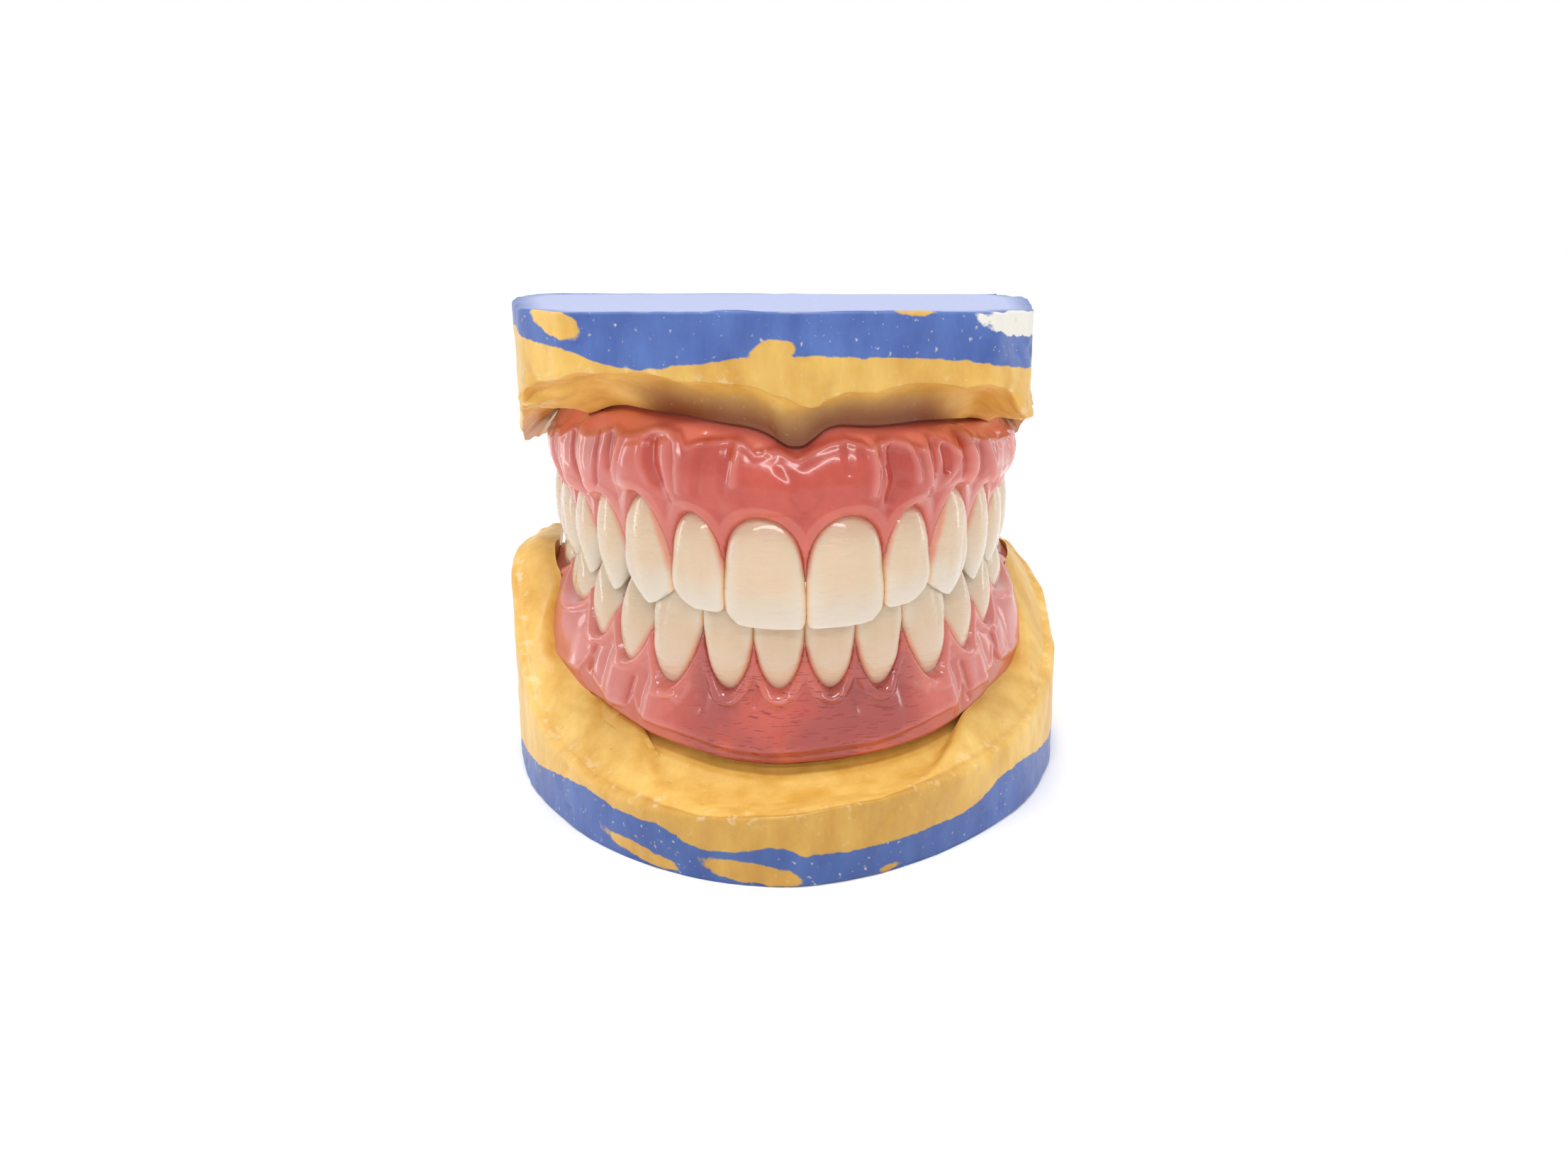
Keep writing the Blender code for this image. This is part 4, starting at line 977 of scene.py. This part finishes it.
def addCast(lower, material):
    # sections all round: outer plane, wall, land and ridge, closed by the sawn rear face
    arch, jaw = curves[lower], jawNames[lower]
    run = signedRuns(cast["runStep"], arch["last"])
    x, y = lowerOutline(run, arch) if lower else upperOutline(run, arch)
    spots = np.stack([run, 0 * run, 0 * run], axis=1)
    ragged = cast["raggedness"] * roughNoise(spots, 5.0, 3 + lower, 3)
    rim = follow(castShape[lower]["rim"], run) + castShape[lower]["raggedShare"] * ragged
    outer = castOuter(lower, run, x, y, rim)
    rows = np.concatenate([outer, *castTissue(lower, run, y, outer[:, -1:])], axis=1)
    count, width = rows.shape[:2]
    faces = gridQuads(count, width).tolist()
    faces.append([*range(width), *range((count - 1) * width, count * width)[::-1]])
    label = f"{jaw}_stone"
    mesh = closedMesh(label, toWorld(rows), faces, castValues(lower, run, rows, rim))
    roughenStone(lower, mesh)
    # the sawn rear face meets the walls in a sharp edge
    mesh.set_sharp_from_angle(angle=math.radians(cast["sharpAngle"]))
    addPiece(label, mesh, material, "yellow_stone", f"{jaw}_cast_stone", f"{jaw}_cast_base")


# Materials

# what the nodes of a kind share unless they say otherwise, and the output that they are read by
kindSettings = {"Mix": {"data_type": "RGBA"}, "Math": {"operation": "MULTIPLY"},
                "MapRange": {"interpolation_type": "SMOOTHSTEP"}}
kindOutputs = {"Attribute": "Fac", "Mix": 2, "TexCoord": "Object"}


def fillSockets(node, links):
    # a socket gets a link from a node or from (node, output), a colour by its hex code, or a
    # value; a size in millimetres sets the scale of a noise to one over that size in metres
    for key, value in links.items():
        if isinstance(value, bpy.types.Node):
            value = value, kindOutputs.get(value.bl_idname.removeprefix("ShaderNode"), 0)
        if isinstance(value, tuple) and isinstance(value[0], bpy.types.Node):
            node.id_data.links.new(value[0].outputs[value[1]], node.inputs[key])
        elif key == "Size":
            node.inputs["Scale"].default_value = 1 / (value * mm)
        else:
            node.inputs[key].default_value = hexColour(value) if isinstance(value, str) else value


def addNode(tree, kind, links, stops=(), **settings):
    # one node with its links, its settings and, on a colour ramp, its stops as (place, hex code)
    node = tree.nodes.new("ShaderNode" + kind)
    for key, value in {**kindSettings.get(kind, {}), **settings}.items():
        setattr(node, key, value)
    fillSockets(node, links)
    for extra in stops[2:]:
        node.color_ramp.elements.new(0.5)
    for index, (at, code) in enumerate(stops):
        node.color_ramp.elements[index].position = at
        node.color_ramp.elements[index].color = hexColour(code)
    return node


def newMaterial(name):
    # a material with its shader and the function that adds nodes to it
    material = bpy.data.materials.new(name)
    material.use_nodes = True
    tree = material.node_tree
    return material, tree.nodes["Principled BSDF"], partial(addNode, tree)


# sizes of the patterns and depths of the bumps are in millimetres in all three materials
# the lower shades are darker than the upper ones, most of all towards the biting edge: painted
# shade where the upper teeth overlap the lower ones
toothLook = {"upper": ((0.0, "#DFD6CA"), (0.14, "#DCD0BE"), (0.4, "#DDC4A6"), (0.72, "#DCC3A5"),
                       (0.94, "#DBB99B"), (1.06, "#D2966C")),
             "lower": ((0.0, "#D0C0A8"), (0.14, "#D3C0A4"), (0.4, "#D8BE9F"), (0.72, "#DCC5AF"),
                       (0.94, "#DFC0A8"), (1.06, "#D2966C")),
             # painted light and shade after the flank colour: amber light in the gaps between
             # crowns, warm shade beside the gum
             "rootSpan": 1.1, "flank": "#E1D7C8", "contact": "#F0C08E", "paintedGumShade": "#E69072",
             "cloudSize": 2.381, "rippleSize": 1.786, "rippleDepth": 0.22}


def makeToothMaterial(lower):
    # moulded cross-linked PMMA: layered shades, warm and strong at the neck and clearer at
    # the edge, under a polished wet-looking surface
    look, jaw = toothLook, jawNames[lower]
    material, shader, add = newMaterial(f"ivory_{jaw}")
    place = add("TexCoord", {})
    rootward, sideways, gumward = (add("Attribute", {}, attribute_name=key)
                                   for key in ("rootward", "sideways", "gumward"))
    share = add("Math", {0: rootward, 1: look["rootSpan"]}, operation="DIVIDE")
    stops = [(at / look["rootSpan"], code) for at, code in look[jaw]]
    shade = add("ValToRGB", {"Fac": share}, stops)
    # clearer and paler along both sides of a crown
    flank = add("MapRange", {"Value": sideways, "From Min": 0.5, "From Max": 0.95, "To Max": 0.55})
    shade = add("Mix", {0: flank, 6: shade, 7: look["flank"]})
    # painted light: amber in the narrow spaces between crowns, lifting the shade there; painted
    # warm shade and pink on the crown beside the gum
    contact = add("MapRange", {"Value": sideways, "From Min": 0.84, "From Max": 1.0, "To Max": 0.7})
    shade = add("Mix", {0: contact, 6: shade, 7: look["contact"]})
    gumShadeShare = add("Math", {0: gumward, 1: 0.85})
    shade = add("Mix", {0: gumShadeShare, 6: shade, 7: look["paintedGumShade"]})
    cloud = add("TexNoise", {"Vector": place, "Size": look["cloudSize"], "Detail": 2.0})
    shade = add("Mix", {0: 0.06, 6: shade, 7: (cloud, "Color")}, blend_type="MULTIPLY")
    # faint level ripples, as on a moulded copy of enamel
    level = add("Mapping", {"Vector": place, "Scale": (1.0, 1.0, 3.0)})
    ripple = add("TexNoise", {"Vector": level, "Size": look["rippleSize"], "Detail": 3.0})
    bump = add("Bump", {"Strength": 0.8, "Distance": look["rippleDepth"] * mm, "Height": ripple})
    fillSockets(shader, {
        "Base Color": shade, "Normal": bump, "Roughness": 0.22, "IOR": 1.49, "Coat Weight": 0.6,
        "Coat Roughness": 0.06, "Subsurface Weight": 0.6, "Subsurface Radius": (1.0, 0.72, 0.5),
        "Subsurface Scale": 0.0015})
    return material


# the upper rim colour is the clearer border band painted lighter against the shadow of the cast
# above it; the lip colour is a painted highlight along the lobes
gumLook = {"upper": {"body": ("#B43B2A", "#C8503F"), "rim": "#E47A6C"},
           "lower": {"body": ("#BA4636", "#D06456"), "rim": "#C85F45"},
           "paintedRidgeSheen": "#E0948C", "paintedHollowShade": "#B23A28", "lip": "#E8968A", "cuff": "#DF8576",
           "cloud": "#9C4442", "fibre": "#8E2A26", "pigmentSize": 3.846, "cloudSize": 7.692,
           "fibreSize": 1.613, "polishSize": 0.7143, "polishDepth": 0.05}


def makeGumMaterial(lower):
    # pink heat-cured PMMA: cloudy pigment with short red fibres, a clearer orange-red rim at
    # the border and a high polish
    look, jaw = gumLook, jawNames[lower]
    material, shader, add = newMaterial(f"pink_pmma_{jaw}")
    place = add("TexCoord", {})
    borderward, crownward, relief, sideward = (
        add("Attribute", {}, attribute_name=key)
        for key in ("borderward", "crownward", "relief", "sideward"))
    pigment = add("TexNoise", {"Vector": place, "Size": look["pigmentSize"],
                               "Detail": 4.0, "Roughness": 0.6})
    shade = add("ValToRGB", {"Fac": pigment}, list(zip((0.3, 0.72), look[jaw]["body"])))
    # painted sheen: raised marks and the cheek sides are paler; painted shade: carved hollows are a
    # deeper red
    paler = add("Math", {0: sideward, 1: 0.5})
    paintedRidgeSheen = add("Math", {0: relief, 1: 1.1, 2: paler}, operation="MULTIPLY_ADD", use_clamp=True)
    shade = add("Mix", {0: paintedRidgeSheen, 6: shade, 7: look["paintedRidgeSheen"]})
    paintedHollowShade = add("Math", {0: relief, 1: -1.1}, use_clamp=True)
    shade = add("Mix", {0: paintedHollowShade, 6: shade, 7: look["paintedHollowShade"]})
    # a painted highlight as a pale lip along the lobes, and a clearer band between the lobes and
    # the border, on the upper plate painted lighter against the shadow of the cast above
    stops = ((0.0, "#000000"), (0.3, "#959595"), (0.9, "#000000"))
    lip = add("ValToRGB", {"Fac": borderward}, stops)
    shade = add("Mix", {0: lip, 6: shade, 7: look["lip"]})
    rim = add("MapRange", {"Value": borderward, "From Min": -0.5, "From Max": 0.25,
                           "To Min": 1.0, "To Max": 0.0})
    shade = add("Mix", {0: rim, 6: shade, 7: look[jaw]["rim"]})
    # paler cuffs along the crowns, where the acrylic is thin over the tooth necks
    cuff = add("MapRange", {"Value": crownward, "From Min": 0.85, "From Max": 1.15,
                            "To Min": 0.3, "To Max": 0.0})
    shade = add("Mix", {0: cuff, 6: shade, 7: look["cuff"]})
    if lower:
        # at the front purplish clouds of denser fibre, and over them short near-level red
        # fibres that are seen through the clear acrylic
        front = add("Math", {0: sideward, 1: -3.5, 2: 1.0}, operation="MULTIPLY_ADD",
                    use_clamp=True)
        level = add("Mapping", {"Vector": place, "Rotation": (0.0, 0.3, 0.0),
                                "Scale": (1.0, 1.0, 9.0)})
        for kind, vector, detail, low, high in (("cloud", place, 3.0, 0.38, 0.58),
                                                ("fibre", level, 1.0, 0.6, 0.68)):
            noise = add("TexNoise", {"Vector": vector, "Size": look[kind + "Size"],
                                     "Detail": detail})
            dense = add("MapRange", {"Value": noise, "From Min": low, "From Max": high,
                                     "To Max": 0.8})
            dense = add("Math", {0: dense, 1: front})
            shade = add("Mix", {0: dense, 6: shade, 7: look[kind]})
    # the polish leaves a fine orange peel
    peel = add("TexNoise", {"Vector": place, "Size": look["polishSize"], "Detail": 2.0})
    bump = add("Bump", {"Strength": 0.4, "Distance": look["polishDepth"] * mm, "Height": peel})
    fillSockets(shader, {
        "Base Color": shade, "Normal": bump, "Roughness": 0.2, "IOR": 1.49, "Coat Weight": 0.5,
        "Coat Roughness": 0.08, "Subsurface Weight": 0.25,
        "Subsurface Radius": (1.0, 0.35, 0.25), "Subsurface Scale": 0.0012})
    return material


# painted shade and sheen in these colours: the inner colour of each jaw darkens the hollows, the
# two front colours darken the front of the wall and the pale top colour lightens the flat top
stoneLook = {"upper": {"stain": "#702C00", "staining": 0.95, "wetBlue": "#FFFFFF"},
             "lower": {"stain": "#C08428", "staining": 0.1, "wetBlue": "#D6E2E6"},
             "yellow": ("#D6A23F", "#F1C86B"), "blue": ("#33529A", "#4E6EB3"),
             "yellowFrontShade": "#DACEAB", "bare": "#E4E0D6", "paintedTopSheen": "#B4BDE6", "chalk": "#F3E3C4",
             "waverSize": 1.4286, "mottleSize": 4.167, "speckSize": 0.6667, "grainSize": 1.111,
             "holeSpacing": 3.125, "grainDepth": 0.12}


def makeStoneMaterial(lower):
    # dental stone poured onto plaster: yellow stone and blue plaster meeting in a marbled
    # line, chalky with a faint soap sheen, small air holes and pale scuffs
    look, jaw = stoneLook, jawNames[lower]
    material, shader, add = newMaterial(f"stone_{jaw}")
    place = add("TexCoord", {})
    pour, scuff, plain, hollow, paintedFrontShade, rimward = (
        add("Attribute", {}, attribute_name=key)
        for key in ("pour", "scuff", "plain", "hollow", "paintedFrontShade", "rimward"))
    # the line between the two colours wavers by about half a millimetre
    waver = add("TexNoise", {"Vector": place, "Size": look["waverSize"],
                             "Detail": 3.0, "Roughness": 0.55})
    shifted = add("Math", {0: waver, 1: 0.7, 2: pour}, operation="MULTIPLY_ADD")
    side = add("MapRange", {"Value": shifted, "From Min": 0.25, "From Max": 0.45})
    streak = add("Mapping", {"Vector": place, "Scale": (1.0, 1.0, 0.45)})
    mottle = add("TexNoise", {"Vector": streak, "Size": look["mottleSize"],
                              "Detail": 5.0, "Roughness": 0.6})
    blue, yellow = (add("ValToRGB", {"Fac": mottle}, list(zip((0.32, 0.7), look[key])))
                    for key in ("blue", "yellow"))
    shade = add("Mix", {0: side, 6: blue, 7: yellow})
    # bare off-white plaster in a ragged patch
    torn = add("Math", {0: waver, 1: 1.2, 2: scuff}, operation="MULTIPLY_ADD")
    patch = add("MapRange", {"Value": torn, "From Min": 0.55, "From Max": 0.75})
    shade = add("Mix", {0: patch, 6: shade, 7: look["bare"]})
    # painted sheen: the flat top is paler; painted shade: the hollow darkens towards the gum,
    # strongly in the upper vestibule and faintly inside the lower rim
    paintedTopSheen = add("Math", {0: plain, 1: 0.75})
    shade = add("Mix", {0: paintedTopSheen, 6: shade, 7: look["paintedTopSheen"]})
    stain = add("MapRange", {"Value": hollow, "From Min": 0.2, "From Max": 0.9,
                             "To Max": look[jaw]["staining"]})
    shade = add("Mix", {0: stain, 6: shade, 7: look[jaw]["stain"]})
    # painted shade on the front of the wall, on the lower blue and on the yellow of both casts
    frontShadeColour = add("Mix", {0: side, 6: look[jaw]["wetBlue"], 7: look["yellowFrontShade"]})
    shade = add("Mix", {0: paintedFrontShade, 6: shade, 7: frontShadeColour}, blend_type="MULTIPLY")
    # pale specks, fewer on the yellow, and pale flecks along the rim
    specks = add("TexNoise", {"Vector": place, "Size": look["speckSize"], "Detail": 2.0})
    pale = add("MapRange", {"Value": specks, "From Min": 0.66, "From Max": 0.76, "To Max": 0.55},
               interpolation_type="LINEAR")
    fewer = add("Math", {0: side, 1: -0.75, 2: 1.0}, operation="MULTIPLY_ADD")
    pale = add("Math", {0: pale, 1: fewer})
    rimFlecks = add("MapRange", {"Value": waver, "From Min": 0.56, "From Max": 0.66, "To Max": 0.3})
    pale = add("Math", {0: rimward, 1: rimFlecks, 2: pale}, operation="MULTIPLY_ADD")
    shade = add("Mix", {0: pale, 6: shade, 7: look["chalk"]})
    # a fine grain with small round air holes sunk into it
    grain = add("TexNoise", {"Vector": streak, "Size": look["grainSize"], "Detail": 4.0})
    holes = add("TexVoronoi", {"Vector": place, "Size": look["holeSpacing"]})
    pit = add("MapRange", {"Value": holes, "From Max": 0.09, "To Min": -2.5, "To Max": 0.0},
              interpolation_type="LINEAR")
    height = add("Math", {0: grain, 1: pit}, operation="ADD")
    bump = add("Bump", {"Strength": 0.5, "Distance": look["grainDepth"] * mm, "Height": height})
    fillSockets(shader, {
        "Base Color": shade, "Normal": bump, "Roughness": 0.5, "IOR": 1.5, "Coat Weight": 0.25,
        "Coat Roughness": 0.3})
    return material


# All pieces, the upper jaw first

for lower in (False, True):
    ivory = makeToothMaterial(lower)
    for side in (-1, 1):
        for name in teethOf[lower]:
            addTooth(lower, side, name, ivory)
print("teeth done")
for lower in (False, True):
    addPlate(lower, makeGumMaterial(lower))
print("gums done")
for lower in (False, True):
    addCast(lower, makeStoneMaterial(lower))
print("casts done")

# Stage and camera

# in metres: place, width and height, and power of each lamp; the sun shines from a direction
# and is as wide as an angle in degrees
stage = {"floorSize": 3.0, "floor": "#FFFFFF", "floorRoughness": 0.85,
         "world": "#FFFFFF", "worldStrength": 0.58,
         "sunFrom": (-0.06, -0.15, 0.97), "sunStrength": 1.56, "sunWidth": 20,
         "lampTarget": (0, 0, 0.035),
         "lamps": {"soft_box": ((-0.03, -0.36, 0.31), (0.52, 0.022), 0.52),
                   "left_strip": ((-0.34, 0.08, 0.10), (0.03, 0.30), 0.14),
                   "right_strip": ((0.34, 0.08, 0.10), (0.03, 0.30), 0.10)}}
# the pose was found by fitting edges of the casts and teeth in the photograph
view = {"right": (0.9976, -0.0676, -0.0132), "up": (0.0293, 0.2436, 0.9694),
        "place": (-0.0110, -0.1550, 0.0634), "lens": 31.08, "sensor": 36.0, "nearest": 0.01}


def addObject(name, data):
    # a new object of the scene that carries the given mesh, lamp or camera
    item = bpy.data.objects.new(name, data)
    bpy.context.scene.collection.objects.link(item)
    return item


def addFloor():
    # matt white board, so the casts throw soft shadows on a pale ground
    size = stage["floorSize"]
    mesh = bpy.data.meshes.new("floor")
    mesh.from_pydata([(-size, -size, 0), (size, -size, 0), (size, size, 0), (-size, size, 0)],
                     [], [(0, 1, 2, 3)])
    material, shader, add = newMaterial("pale_floor")
    fillSockets(shader, {"Base Color": stage["floor"], "Roughness": stage["floorRoughness"]})
    mesh.materials.append(material)
    addObject("floor", mesh)


def addWorld():
    # the camera sees plain white, while the light that falls on the casts is softer
    world = bpy.data.worlds.new("studio")
    world.use_nodes = True
    tree = world.node_tree
    path = addNode(tree, "LightPath", {})
    seen = addNode(tree, "Math", {0: (path, "Is Camera Ray"), 1: (path, "Is Glossy Ray")},
                   operation="MAXIMUM")
    strength = addNode(tree, "MapRange", {"Value": seen, "To Min": stage["worldStrength"]},
                       interpolation_type="LINEAR")
    fillSockets(tree.nodes["Background"], {"Color": stage["world"], "Strength": strength})
    bpy.context.scene.world = world


def addLamps():
    # a soft sun, and area lights that look at one point of the object
    sun = bpy.data.lights.new("soft_sun", "SUN")
    sun.energy, sun.angle = stage["sunStrength"], math.radians(stage["sunWidth"])
    turn = Vector(stage["sunFrom"]).to_track_quat("Z", "Y").to_euler()
    addObject("soft_sun", sun).rotation_euler = turn
    for name, (place, (width, height), power) in stage["lamps"].items():
        lamp = bpy.data.lights.new(name, "AREA")
        lamp.shape, lamp.size, lamp.size_y, lamp.energy = "RECTANGLE", width, height, power
        aim = Vector(stage["lampTarget"]) - Vector(place)
        turn = aim.to_track_quat("-Z", "Y").to_matrix().to_4x4()
        addObject(name, lamp).matrix_world = Matrix.Translation(place) @ turn


def addCamera():
    # the right and up directions are made square to each other before they turn the camera
    right, up = Vector(view["right"]), Vector(view["up"])
    back = right.cross(up).normalized()
    up = back.cross(right).normalized()
    turn = Matrix((right.normalized(), up, back)).transposed().to_4x4()
    lens = bpy.data.cameras.new("camera")
    lens.sensor_width, lens.lens, lens.clip_start = view["sensor"], view["lens"], view["nearest"]
    item = addObject("camera", lens)
    item.matrix_world = Matrix.Translation(view["place"]) @ turn
    bpy.context.scene.camera = item


addFloor()
addWorld()
addLamps()
addCamera()
bpy.context.scene.view_settings.view_transform = "Standard"

print("stage done")
